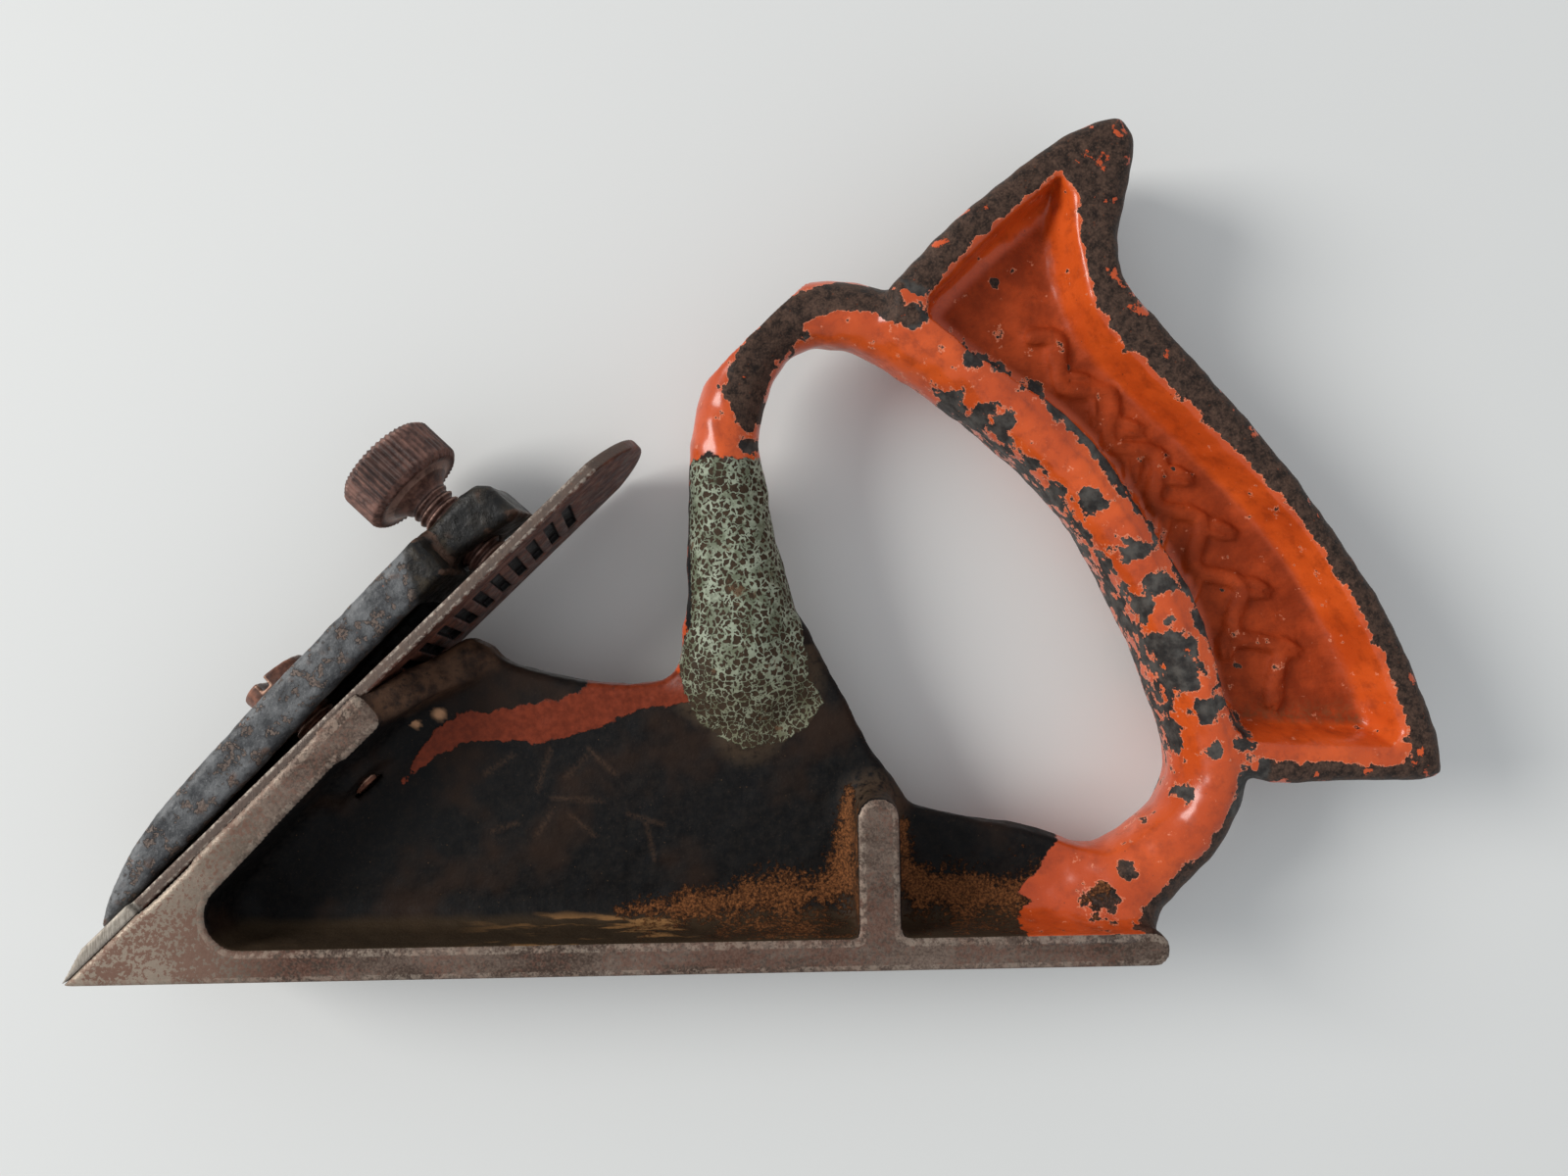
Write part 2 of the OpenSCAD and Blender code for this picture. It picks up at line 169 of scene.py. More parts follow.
def along_line(stations, x, z):
    """Distance to an open line, how far to its left, and there its run and its stations' further values."""
    p = np.asarray(stations, float)
    run = np.concatenate([[0], np.cumsum(np.hypot(*np.diff(p[:, :2], axis=0).T))])
    rows = np.column_stack([run, p[:, 2:]])
    best = np.full(x.shape, 1e9)
    left = np.zeros(x.shape)
    values = [np.zeros(x.shape) for _ in range(rows.shape[1])]
    for i in range(len(p) - 1):
        a, e = p[i, :2], p[i + 1, :2] - p[i, :2]
        wx, wz = x - a[0], z - a[1]
        t = share((wx * e[0] + wz * e[1]) / (e @ e))
        d = (wx - t * e[0]) ** 2 + (wz - t * e[1]) ** 2
        nearer = d < best
        best = np.where(nearer, d, best)
        left = np.where(nearer, (e[0] * wz - e[1] * wx) / np.hypot(*e), left)
        for k, v in enumerate(values):
            values[k] = np.where(nearer, rows[i, k] + (rows[i + 1, k] - rows[i, k]) * t, v)
    return np.sqrt(best), left, values


def share(value):
    return np.clip(value, 0, 1)


def join(a, b, reach):
    """Union with a fillet that reaches this far along both surfaces."""
    h = np.maximum(reach - np.abs(a - b), 0) / reach
    return np.minimum(a, b) - h * h * reach / 4


def cut(a, b, reach):
    """a without b, its new edges rounded."""
    return -join(-a, b, reach)


def plate(outline, across, half, edge):
    """A side outline given a thickness of twice half, with rounded edges."""
    u, v = outline + edge, np.abs(across) - half + edge
    return np.minimum(np.maximum(u, v), 0) + np.hypot(np.maximum(u, 0), np.maximum(v, 0)) - edge


def waves(block, longest, seed, count=9):
    """Smooth random unevenness of a block between about -1 and 1."""
    x, y, z = block.x, block.y, block.z
    r = np.random.default_rng(seed)
    total = 0
    for _ in range(count):
        direction = r.normal(size=3)
        direction /= np.linalg.norm(direction) * longest * r.uniform(0.4, 1) / (2 * math.pi)
        total = total + np.sin(direction[0] * x + direction[1] * y + direction[2] * z + r.uniform(0, 6.28))
    return total / math.sqrt(count / 2) / 2


class Block:
    """A box of evenly spaced points on which a field is worked out, and turned into a mesh."""

    def __init__(self, low, high, cell):
        self.low, self.cell = np.array(low, float), cell
        axes = [np.arange(a, b + cell, cell) for a, b in zip(low, high)]
        self.x = axes[0][:, None, None]
        self.y = axes[1][None, :, None]
        self.z = axes[2][None, None, :]
        self.side_x, self.side_z = np.meshgrid(axes[0], axes[2], indexing="ij")

    def side(self, flat):
        """A field of the side view, spread across the block."""
        return flat[:, None, :].astype(np.float32)

    def at(self, field, points):
        """The field's value at points inside the block."""
        p = (points - self.low) / self.cell
        top = np.array(field.shape) - 1.001
        p = np.clip(p, 0, top)
        i = p.astype(int)
        f = p - i
        total = 0
        for dx in (0, 1):
            for dy in (0, 1):
                for dz in (0, 1):
                    w = ((f[:, 0] if dx else 1 - f[:, 0]) * (f[:, 1] if dy else 1 - f[:, 1])
                         * (f[:, 2] if dz else 1 - f[:, 2]))
                    total = total + w * field[i[:, 0] + dx, i[:, 1] + dy, i[:, 2] + dz]
        return total

    def surface(self, field):
        """Points, faces and outward directions where the field is zero."""
        grid = openvdb.FloatGrid(5.0)
        grid.copyFromArray(np.clip(field, -5, 5).astype(np.float32))
        grid.transform = openvdb.createLinearTransform(self.cell)
        points, _, quads = grid.convertToPolygons(0.0, 0.0)
        points = points.astype(float) + self.low
        step = 0.5 * self.cell
        slope = np.column_stack([self.at(field, points + step * axis) - self.at(field, points - step * axis)
                                 for axis in np.eye(3)])
        slope /= np.maximum(np.linalg.norm(slope, axis=1, keepdims=True), 1e-9)
        return points, quads, slope


def build_piece(name, block, field, place=None, marks=None):
    """Mesh object of a field. Its marks are values kept at each point for the finish to use."""
    points, quads, out = block.surface(field)
    marks = dict(marks(points, out) if marks else {})
    # hollow: how shut in each point is; the screws' finish uses it to paint shade into grooves
    marks["hollow"] = share(1 - block.at(field, points + out * 4.0) / 4.0)
    inward = 2 * block.cell
    marks["edge"] = share(1 + block.at(field, points - out * inward) / inward)
    if place is not None:
        points = points @ np.array(place.to_3x3()).T + np.array(place.translation)
    mesh = bpy.data.meshes.new(name)
    mesh.vertices.add(len(points))
    mesh.vertices.foreach_set("co", (points * MM).astype(np.float32).ravel())
    mesh.loops.add(len(quads) * 4)
    mesh.loops.foreach_set("vertex_index", quads.astype(np.int32).ravel())
    mesh.polygons.add(len(quads))
    mesh.polygons.foreach_set("loop_start", np.arange(0, len(quads) * 4, 4, dtype=np.int32))
    mesh.update(calc_edges=True)
    mesh.validate()
    mesh.polygons.foreach_set("use_smooth", np.ones(len(mesh.polygons), bool))
    for label, values in marks.items():
        layer = mesh.attributes.new(label, "FLOAT", "POINT")
        layer.data.foreach_set("value", np.asarray(values, np.float32))
    piece = bpy.data.objects.new(name, mesh)
    bpy.context.scene.collection.objects.link(piece)
    return piece


BED_PLACE = Matrix((
    (BED_COS, 0, -BED_SIN, EDGE_X),
    (0, 1, 0, 0),
    (BED_SIN, 0, BED_COS, 0),
    (0, 0, 0, 1)))
THUMB_PLACE = (BED_PLACE @ Matrix.Translation((THUMB_S, 0, IRON_T))
               @ Matrix.Rotation(-THUMB_LEAN, 4, "Y"))
SCREW_PLACE = BED_PLACE @ Matrix.Translation((CAP_SCREW_S, 0, 0))

# ==== Body casting ====


def frame_outline():
    corner = (-HEEL_X + POCKET_DX, SOLE_T + POCKET_R)
    return (
        [(-HEEL_X, 0)]
        + arc((HEEL_X - HEEL_ROUND, HEEL_ROUND), HEEL_ROUND, -90, 0, 5)
        + arc((HEEL_X - HEEL_ROUND, SOLE_T - HEEL_ROUND), HEEL_ROUND, 0, 90, 5)
        + arc(corner, POCKET_R, 270, 90 + math.degrees(BED_ANGLE), 12)
        + [from_bed(BED_LENGTH - 1.5, LIP_H - BED_T), from_bed(BED_LENGTH - 0.3, LIP_H - BED_T + 1.3),
           from_bed(BED_LENGTH, LIP_H), from_bed(IRON_WIDE_LENGTH + 13, 0),
           from_bed(IRON_WIDE_LENGTH + 11, -0.4), from_bed(IRON_WIDE_LENGTH + 2, -0.4),
           from_bed(IRON_WIDE_LENGTH, -0.05), from_bed(0.6, -0.05)])


def web_outline():
    rim = smooth(from_heel([(-6, 12), (-10, 15.6), (-17.3, 18.6), (-34.3, 22.5), (-41.2, 25.2),
                            (-46.9, 34.2), (-52.4, 45.6), (-58, 54)]), 4)
    valley = smooth(from_heel([(-77.2, 55), (-77.7, 50.4), (-82.2, 46.5), (-93.8, 46.1)])
                    + [from_bed(86.3, -14), from_bed(84.2, -9.6), from_bed(82.3, -4.1)], 4)
    return ([(-HEEL_X + 14, SOLE_T / 2), (HEEL_X - 8, SOLE_T / 2)] + rim
            + from_heel([(-68, 60)]) + valley + [from_bed(BED_LENGTH, -3)])


# Column, arch and front bar of the grip, down to the heel: x, z, half width in the side view and across
HANDLE = smooth(from_heel([
    (-67.5, 38, 3, 2.8), (-67.8, 42, 8.6, 6), (-67.7, 47, 10, 8.2), (-68, 53, 9.7, 8.7),
    (-68.8, 61.5, 8.7, 8.2), (-69.9, 70, 7.6, 7.4), (-70.6, 81, 6.5, 6.6), (-70.5, 89, 5.8, 6.2),
    (-67.6, 99, 5.6, 6.1), (-63.2, 105.3, 5.5, 6.3), (-57.4, 108.5, 5.6, 6.7), (-51.3, 109, 5.8, 7.2),
    (-45.5, 107.7, 5.9, 8), (-38.4, 104.3, 6.1, 9.4), (-25.7, 95.1, 6.2, 10.5), (-11.4, 81.6, 6.2, 10.5),
    (0, 64.6, 6.2, 10.5), (7.8, 45.5, 6.2, 10.5), (11.7, 31, 6.3, 10.2), (8.4, 20.7, 6.3, 9.4),
    (2.6, 14.8, 6.8, 8.8), (-3, 10, 7.6, 8.4), (-8, 5.5, 7, 8)]), 12)

GRIP = from_heel(
    [(20, 27.8), (44.6, 27.8)]
    + smooth([(46.6, 28.2), (48, 30.4), (46, 40.1), (39.4, 55.3), (28.4, 73.6), (15.2, 90.5),
              (5.4, 102), (-1.8, 110.4), (-4.1, 117.5), (-2.9, 125.4), (-1.1, 134), (-2.2, 137.8),
              (-4.9, 139.3), (-13.5, 136), (-26.8, 126.4), (-38.5, 115.6), (-42.5, 111.5)], 6)
    + smooth([(-43.3, 105.6), (-39.4, 103), (-26.7, 93.8), (-12.7, 80.6), (-1.5, 63.8),
              (6.2, 44.9), (10.1, 31)], 5))

RECESS = from_heel(
    smooth([(15.4, 35), (27.6, 34.2), (39.4, 33.8)], 3)
    + smooth([(41, 36.4), (36.4, 49.5), (27.6, 66), (14.5, 81.9), (-5.7, 102.6),
              (-10.9, 114.2), (-12, 126)], 6)
    + smooth([(-14, 129), (-27.8, 117.6), (-36, 109.4)], 4)
    + smooth([(-36, 106.4), (-28.2, 99.7), (-12.1, 88.2), (-0.6, 72.5), (7.4, 57.5), (11.5, 42.5)], 5)
    + [(13.4, 36.8)])

# Sides of the recess whose walls are steep: the upper one and the one along the front bar
RECESS_STEEP = from_heel([(-14, 129), (-36, 109.4), (-36, 106.4), (-28.2, 99.7), (-12.1, 88.2), (-0.6, 72.5),
                          (7.4, 57.5), (11.5, 42.5)])

# Middle line of the raised vine on the grip's panel, from top to bottom
VINE = smooth(from_heel([(-17.5, 104), (-9.5, 96), (-1.5, 86), (6, 75), (12.5, 64), (19, 52.5), (25, 43)]), 8)


def vine_relief(x, z):
    """Height of a plain wavy stem with round-tipped leaves on the grip's panel."""
    line = np.array(VINE)
    run = np.concatenate([[0], np.cumsum(np.hypot(*np.diff(line, axis=0).T))])
    turn = np.gradient(line, axis=0)
    turn /= np.hypot(*turn.T)[:, None]
    swing = 2.7 * np.sin(2 * math.pi * run / 13)
    stem = line + np.column_stack([-turn[:, 1], turn[:, 0]]) * swing[:, None]
    away, _, _ = along_line([tuple(p) for p in stem], x, z)
    height = share(1 - (away / 1.6) ** 2) ** 0.5
    for k in range(13):
        at = run[-1] * (k + 0.5) / 13
        spot = np.array([np.interp(at, run, stem[:, c]) for c in (0, 1)])
        way = np.array([np.interp(at, run, turn[:, c]) for c in (0, 1)])
        side = np.array([-way[1], way[0]]) * (1 if k % 2 else -1)
        leaf = 0.75 * way + 0.65 * side
        leaf /= np.hypot(*leaf)
        ux = (x - spot[0]) * leaf[0] + (z - spot[1]) * leaf[1] - 3.6
        uz = -(x - spot[0]) * leaf[1] + (z - spot[1]) * leaf[0]
        bulge = 1 - (ux / 3.5) ** 2 - (uz / (1.9 - 0.16 * ux)) ** 2
        vein = 0.45 * share(1 - (uz / 0.6) ** 2)
        height = np.maximum(height, share(bulge) ** 0.5 - vein)
    return height


def bed_tail(block):
    """Tail of the bed, which falls away and narrows into the web."""
    s = (block.side_x - EDGE_X) * BED_COS + block.side_z * BED_SIN
    n = -(block.side_x - EDGE_X) * BED_SIN + block.side_z * BED_COS
    length = BED_LENGTH
    profile = outline_distance([(length - 8, 0), (length, 0), (length + 7, -0.8), (length + 15.4, -3.8),
                                (length + 16.5, -6.5), (length + 13, -8.8), (length, -5.4),
                                (length - 8, -5)], s, n)
    half = np.interp(s, [length - 1, length + 5, length + 11, length + 18],
                     [HALF_WIDTH, HALF_WIDTH - 3.6, HALF_WIDTH - 9, WEB_T / 2])
    return plate(block.side(profile), block.y, block.side(half), 1.0), s, n


# ---- where the casting's paint lies, and where it has worn away ----

# Orange paint in the side view: the handle from above the column down to the heel, the stripe up the column's
# left edge, and the band across the web
ORANGE_ZONES = [
    [(4, 84), (13.3, 83.5), (15.6, 85.5), (18.5, 83.4), (21.8, 83.9), (26, 82.4), (45, 60), (76, 19.5),
     (72.8, 16), (70.4, 12.4), (66.4, 9), (70, 7.6), (66, 5.6), (67, 4), (160, 4), (160, 150), (0, 150)],
    [(6, 44), (10.8, 44), (11, 60), (12, 85), (6, 85)],
    [(12.6, 47.4), (9.2, 49), (0.8, 48), (-6, 47), (-7.2, 44.6), (-12.7, 43.3), (-19.5, 42.2), (-22.8, 41.6),
     (-27.9, 41.4), (-32.1, 38.6), (-35.6, 34.5), (-38.6, 28.6), (-35.7, 31.6), (-33.1, 33.8), (-30.5, 35.2),
     (-26.3, 36.5), (-19.6, 36.9), (-15.4, 36.1), (-9.5, 37), (-2.7, 39.2), (2.4, 41.3), (9.1, 42),
     (12.2, 43)],
]
# Bare patch over the outer side of the arch, from the heel
ARCH_BARE = from_heel([
    (-70.5, 94.5), (-69.4, 100), (-64.5, 106.4), (-60, 111), (-50, 114), (-42, 113), (-38.6, 106),
    (-41.6, 105), (-44.6, 107.6), (-51.6, 108.2), (-57, 106.4), (-58.2, 102.8), (-61.6, 100.4),
    (-63.4, 96.4), (-64, 91), (-66.4, 87.8), (-68.6, 90), (-69.6, 93.6)])
# Chips in the handle's paint, from the heel: x, z, radius
CHIPS = from_heel([
    (-9.4, 75.1, 2.0), (-3.1, 67.1, 1.9), (0.9, 61.3, 2.3), (-0.8, 58.0, 1.7), (3.6, 50.9, 3.6),
    (5.2, 46.0, 3.2), (8.9, 40.7, 2.4), (5.6, 25.9, 1.4), (-2, 22.6, 2.0), (-8.9, 8.6, 2.6),
    (-29.2, 98.9, 1.7), (-27.4, 90.2, 2.2), (-32.2, 92.6, 2.0), (-24, 88.4, 1.8), (-19.7, 81.3, 1.6),
    (-12.6, 88.2, 1.4), (-39.6, 106.6, 2.6), (-66.2, 86.4, 1.9), (3.4, 30.4, 1.2), (-4.2, 13.4, 1.3),
    (9.6, 33.6, 1.2), (-17, 94.4, 1.7)])
PANEL_CHIPS = from_heel([
    (-23.7, 113.6, 0.9), (-11.3, 98.8, 0.45), (6, 81, 0.35), (14.5, 60, 0.4), (17, 47, 0.5)])
# Foot of the crackled paint, where the column meets the web
CRACKLE_FOOT = [(9.5, 50), (10.6, 45.1), (12.5, 39.8), (16.4, 36.6), (21.5, 34.9), (27.5, 35.4), (32.2, 38.9),
                (34.2, 42.4), (32.2, 46.4), (28.4, 55), (20, 58), (12, 56)]
# Rust dust lying in the pockets' corners, as lines from the rib: x, z, reach
DUST_LEFT = [(-4.2, 27, 0.9), (-4.6, 18, 1.5), (-6, 11.5, 3.4), (-10, 9, 4.2), (-20, 8.6, 3.6), (-30, 8.2, 2),
             (-44, 7.4, 1)]
DUST_RIGHT = [(5, 21, 0.8), (5.2, 13, 1.8), (9, 9.6, 3), (20, 9, 3), (31, 9.6, 3.8), (37, 12.5, 2.4)]
# Plain scratches through the web's enamel: ends of each
SCRATCHES = [
    (-24, 31, -19, 34), (-15, 28, -12.6, 35), (-10, 30, -6.5, 33.6), (-6, 34.8, -1.5, 30.5),
    (-23, 21, -18.5, 22.4), (-15.5, 19.8, -12.5, 24.4), (-9.5, 23.8, -5.2, 19.8), (0.5, 23.6, 6.6, 21.6),
    (3.6, 22, 4.9, 15.6), (-12.4, 26.6, -4, 26)]


def spots(places, x, z, soft=1.0):
    """1 at the middle of the nearest round spot, falling through 0 at its rim, to -1 beyond it."""
    value = np.full(len(x), -9.0)
    for a, b, radius in places:
        value = np.maximum(value, 1 - np.hypot(x - a, z - b) / radius)
    return np.clip(value * soft, -1, 1)


def casting_marks(points, out, s, run, off_bar, lean, grip_in, recess_in):
    """Values at each point of the casting for its finish, in millimetres or from 0 to 1."""
    x, y, z = points.T
    wide = np.abs(y)
    orange = np.full(len(x), -99.0)
    for zone in ORANGE_ZONES:
        orange = np.maximum(orange, -outline_distance(zone, x, z))
    on_column = (z < 90) & (x < 40)
    crackle = np.minimum(0.5 - off_bar, 84 - z)
    crackle = np.where(on_column, np.minimum(crackle, (0.93 - lean) * 9), -5)
    crackle = np.maximum(crackle, -outline_distance(CRACKLE_FOOT, x, z))
    nose_slope = np.where((s > 17) | (out[:, 2] < 0.5), -1.0, 1.0)
    ground = np.maximum.reduce([wide - HALF_WIDTH + 0.35, 0.35 - z, nose_slope])

    land = -recess_in
    low_land = share((35 - z) / 1.5)
    bare_land = np.clip((land - 0.8 - 2.1 * low_land) / 1.4, -1, 1)
    bare_land = np.where((grip_in > -2.5) & (off_bar > -1.2), bare_land, -1)
    bare_land = bare_land - 0.8 * share((0.75 - wide / 10.5) * 3) * (recess_in < 0)
    arch = np.clip(-outline_distance(ARCH_BARE, x, z) / 1.2, -1, 1)
    bar = (run > 62) & (run < 192) & (off_bar < 0.6)
    along = share((run - 98) / 12) * share((196 - run) / 14)
    rim_side = (share(1 - np.abs(lean - 0.58) / 0.62) * 1.3 - 0.45) * along - 0.5
    opening_side = (share((-lean - 0.6) / 0.3) * 0.62) * along - 0.5
    heel_back = np.clip((lean - 0.36) / 0.3, -1, 1) * ((z < 30) & (x > 78))
    bare = np.maximum.reduce([
        bare_land, arch, np.where(bar, np.maximum(rim_side, opening_side), -1),
        np.where(heel_back != 0, heel_back, -1), spots(CHIPS, x, z, 0.85),
        np.where(wide < 4.5, spots(PANEL_CHIPS, x, z, 2), -1), np.full(len(x), -0.56)])
    panel = share((recess_in - 2.4) / 1.2) * share((6.5 - wide) / 2.5)
    rib_x = HEEL_X - RIB_DX
    dust = np.full(len(x), -2.0)
    for line in (DUST_LEFT, DUST_RIGHT):
        away, _, (_, reach) = along_line([(rib_x + a, b, c) for a, b, c in line], x, z)
        dust = np.maximum(dust, 0.62 - 0.5 * away / reach)
    dust = np.where(wide < HALF_WIDTH - 0.8, dust, -2)
    scratch = np.zeros(len(x))
    for a, b, c, d in SCRATCHES:
        scratch = np.maximum(scratch, 1 - along_line([(a, b), (c, d)], x, z)[0] / 0.6)
    web_face = (np.abs(out[:, 1]) > 0.8) & (wide < 6)
    rib_near = 1.2 - along_line([(rib_x, 0), (rib_x, RIB_H - 3)], x, z)[0] / 5.5
    tail_top = share((z - 41 - 0.5 * (x + 36)) / 2) * (x < -14)
    panel_dust = share((42 - z) / 6) * panel + share((z - 122) / 6) * panel * 0.6
    return {
        "orange": np.clip(orange, -6, 6), "crackle": np.clip(crackle, -6, 6), "ground": ground, "bare": bare,
        "undercoat": np.where(bar | (off_bar < 0), 1.0, 0.0) * (z > 22) * (arch < -0.9),
        "panel": panel, "dust": dust, "panel_dust": panel_dust,
        "remnant": np.where((land > 3.4) & (off_bar > 0.5) & (grip_in > -2), -0.6, -1.3),
        "haze": share(rib_near) * (wide < HALF_WIDTH - 0.8),
        "scratch": share(scratch) * web_face,
        "tail": share((s - BED_LENGTH + 1) / 1.5) * tail_top,
        "tan": share(spots([(-31.4, 41.4, 1.3), (-35.4, 39.8, 0.9)], x, z, 2)) * web_face,
        "nose": share((-52 - x) / 24),
        "on_web": 1.0 * ((x < 14) & (z < 48) & (wide < 8)),
        "foot": share((54 - z) / 12),
        "streak": share(1.5 - np.abs(x - 2) / 20),
        "halo": share(1 - np.abs(off_bar - 1.5) / 3) * on_column * (z < 52),
        "shelf": share((out[:, 2] - 0.5) * 3) * (z < 9) * (x < 87),
    }


def make_body_casting():
    block = Block((BODY_LOW.x - 2, -HALF_WIDTH - 2, -2),
                  (BODY_HIGH.x + 2, HALF_WIDTH + 2, BODY_HIGH.z + 2), 0.6)
    x, z = block.side_x, block.side_z
    y = block.y.astype(np.float32)
    rib_x = HEEL_X - RIB_DX
    frame_side = outline_distance(frame_outline(), x, z)
    web_side = outline_distance(web_outline(), x, z)
    rib_side = along_line([(rib_x, 0), (rib_x, RIB_H - RIB_W / 2)], x, z)[0] - RIB_W / 2
    grip_side = outline_distance(GRIP, x, z)
    recess_side = outline_distance(RECESS, x, z)
    handle_side, handle_left, (handle_run, handle_half, handle_across) = along_line(HANDLE, x, z)

    field = plate(block.side(join(frame_side, rib_side, 1.6)), y, HALF_WIDTH, 0.5)
    tail, s, n = bed_tail(block)
    field = join(field, tail, 2.5)
    web = plate(block.side(web_side), y, WEB_T / 2, 1.6)
    boss = np.hypot(block.side(s - CAP_SCREW_S), y) - BOSS_R
    boss = np.maximum(np.maximum(boss, block.side(-n - BOSS_DEPTH)), block.side(n + 1))
    field = join(field, join(web, boss, 3), 5)
    reach = np.sqrt(block.side(handle_side ** 2) + y ** 2)
    ratio = np.sqrt(block.side((handle_side / handle_half) ** 2) + (y / block.side(handle_across)) ** 2)
    bar = reach - reach / np.maximum(ratio, 1e-3)
    field = join(field, bar, 5)
    field = join(field, plate(block.side(grip_side), y, GRIP_T / 2, GRIP_ROUND), 1.5)

    depth = GRIP_T / 2 - np.abs(y)
    steep = along_line(RECESS_STEEP, x, z)[0] - np.abs(recess_side)
    slope = block.side(0.44 - 0.3 * share(1 - steep / 2.5))
    floor = PANEL_T / 2 + 1.5 * block.side(vine_relief(x, z))
    recess = -join(-(block.side(recess_side) + slope * depth - 0.3), -(floor - np.abs(y)), 2.4)
    field = cut(field, recess, 0.9)

    channel = np.maximum(np.maximum(np.abs(y) - IRON_NARROW_W / 2 - 0.4, block.side(-n)),
                         block.side(IRON_WIDE_LENGTH + 5 - s))
    field = np.maximum(field, -channel)
    bore = np.maximum(np.hypot(block.side(s - CAP_SCREW_S), y) - THREAD_R - 0.1,
                      block.side(-n - CAP_SCREW_BELOW - 0.6))
    field = np.maximum(field, -bore)
    lean = block.side(handle_left / handle_half)
    window = share((handle_run - 96) / 14) * share((188 - handle_run) / 16)
    fall = 1.9 * share(1 - np.abs(lean - 0.95) / 0.85) ** 1.4 * block.side(window)
    field = np.where(fall > 0, np.maximum(field, np.abs(y) - GRIP_T / 2 + fall), field)
    field = np.maximum(np.maximum(field, np.abs(y) - HALF_WIDTH), -block.z)
    rough = waves(block, 22, 3) * 0.14 + waves(block, 7, 4) * 0.07
    cast = share((HALF_WIDTH - 1.2 - np.abs(y)) / 2) * share((block.z - 2) / 2)
    field = field + (rough * cast * block.side(share((-n - 1) / 2) + (x > 0))).astype(np.float32)
    field = np.maximum(np.maximum(field, block.x - BODY_HIGH.x + 0.02), block.z - BODY_HIGH.z + 0.02)

    def marks(points, out):
        def here(side_field):
            below = np.column_stack([points[:, 0], np.full(len(points), block.low[1]), points[:, 2]])
            return block.at(np.repeat(side_field[:, None, :], 2, axis=1), below)
        return casting_marks(points, out, here(s), here(handle_run), here(handle_side - handle_half),
                             here(handle_left / handle_half), -here(grip_side), -here(recess_side))

    return build_piece("cast_body", block, field, marks=marks)


# ==== Plane iron ====


def make_plane_iron():
    block = Block((-1, -HALF_WIDTH - 1, -1), (IRON_LENGTH + 1, HALF_WIDTH + 1, IRON_T + 1), 0.3)
    s, y, n = block.x, block.y, block.z
    half = IRON_NARROW_W / 2
    rise = 8.0
    end_r = (half ** 2 + rise ** 2) / (2 * rise)
    plan = np.minimum(
        np.maximum(np.abs(y) - HALF_WIDTH, np.maximum(s - IRON_WIDE_LENGTH, -s)),
        np.maximum(np.maximum(np.abs(y) - half, -s),
                   np.hypot(np.maximum(s - (IRON_LENGTH - end_r), 0), y) - end_r))
    field = plate(plan, n - IRON_T / 2, IRON_T / 2, 0.25)
    bevel = (n * IRON_BEVEL - s * IRON_T) / math.hypot(IRON_BEVEL, IRON_T)
    field = np.maximum(field, bevel)
    slot = np.hypot(y, np.maximum(IRON_SLOT_S - s, 0) + np.maximum(s - CAP_SCREW_S - 6, 0)) - THREAD_R - 0.4
    field = cut(field, slot + 0 * n, 0.3)
    for k in range(NOTCHES):
        at = NOTCH_TOP - NOTCH_PITCH * k
        notch = np.maximum(np.maximum(np.abs(s - at + NOTCH_SLANT * y) - 1.0, np.abs(y) - 8.6), n - 1.35)
        field = cut(field, notch, 0.25)

    def marks(points, out):
        s, y, n = points.T
        along = s - NOTCH_TOP + NOTCH_SLANT * y
        # notch: the notch grooves, coloured near black in the finish as painted shade
        notch = np.abs(np.mod(along + NOTCH_PITCH / 2, NOTCH_PITCH) - NOTCH_PITCH / 2)
        notch = (notch < 1.15) & (np.abs(y) < 8.8) & (n > 0.2) & (n < 1.6) & (s > 70) & (s < 113)
        below = (out[:, 2] < -0.4) | ((n < IRON_T - 0.3) & (np.abs(out[:, 1]) < 0.4) & (s > 8))
        return {"notch": 1.0 * notch, "rim": 1.0 * (np.abs(y) > half - 0.7), "below": 1.0 * below,
                "ground_side": 1.0 * (s < IRON_WIDE_LENGTH + 0.3)}

    return build_piece("cutting_iron", block, field, BED_PLACE, marks)


# ==== Lever cap ====

# Side outlines of the bar and the boss: along the bed and above the iron
CAP_TOP = [(9.5, 1), (13.3, 3.4), (19.6, 5.9), (27, 7.5), (36, 8.4), (45, 9), (60, 9.8), (75, 10.4),
           (90, 10.9)]
CAP_LOW_LINE = [(90, 3.6), (72, 3.2), (60, 2.8), (47, 1.9), (27.4, 1.3), (17.3, 0.8)]
CAP_BOSS = [(85, 5.4), (92, 5.2), (103.3, 3.2), (104.9, 3.4), (104.3, 10), (102.7, 11.8), (99.5, 12.4),
            (86, 12)]


def cap_top(s):
    return np.interp(s, *np.array(CAP_TOP).T)


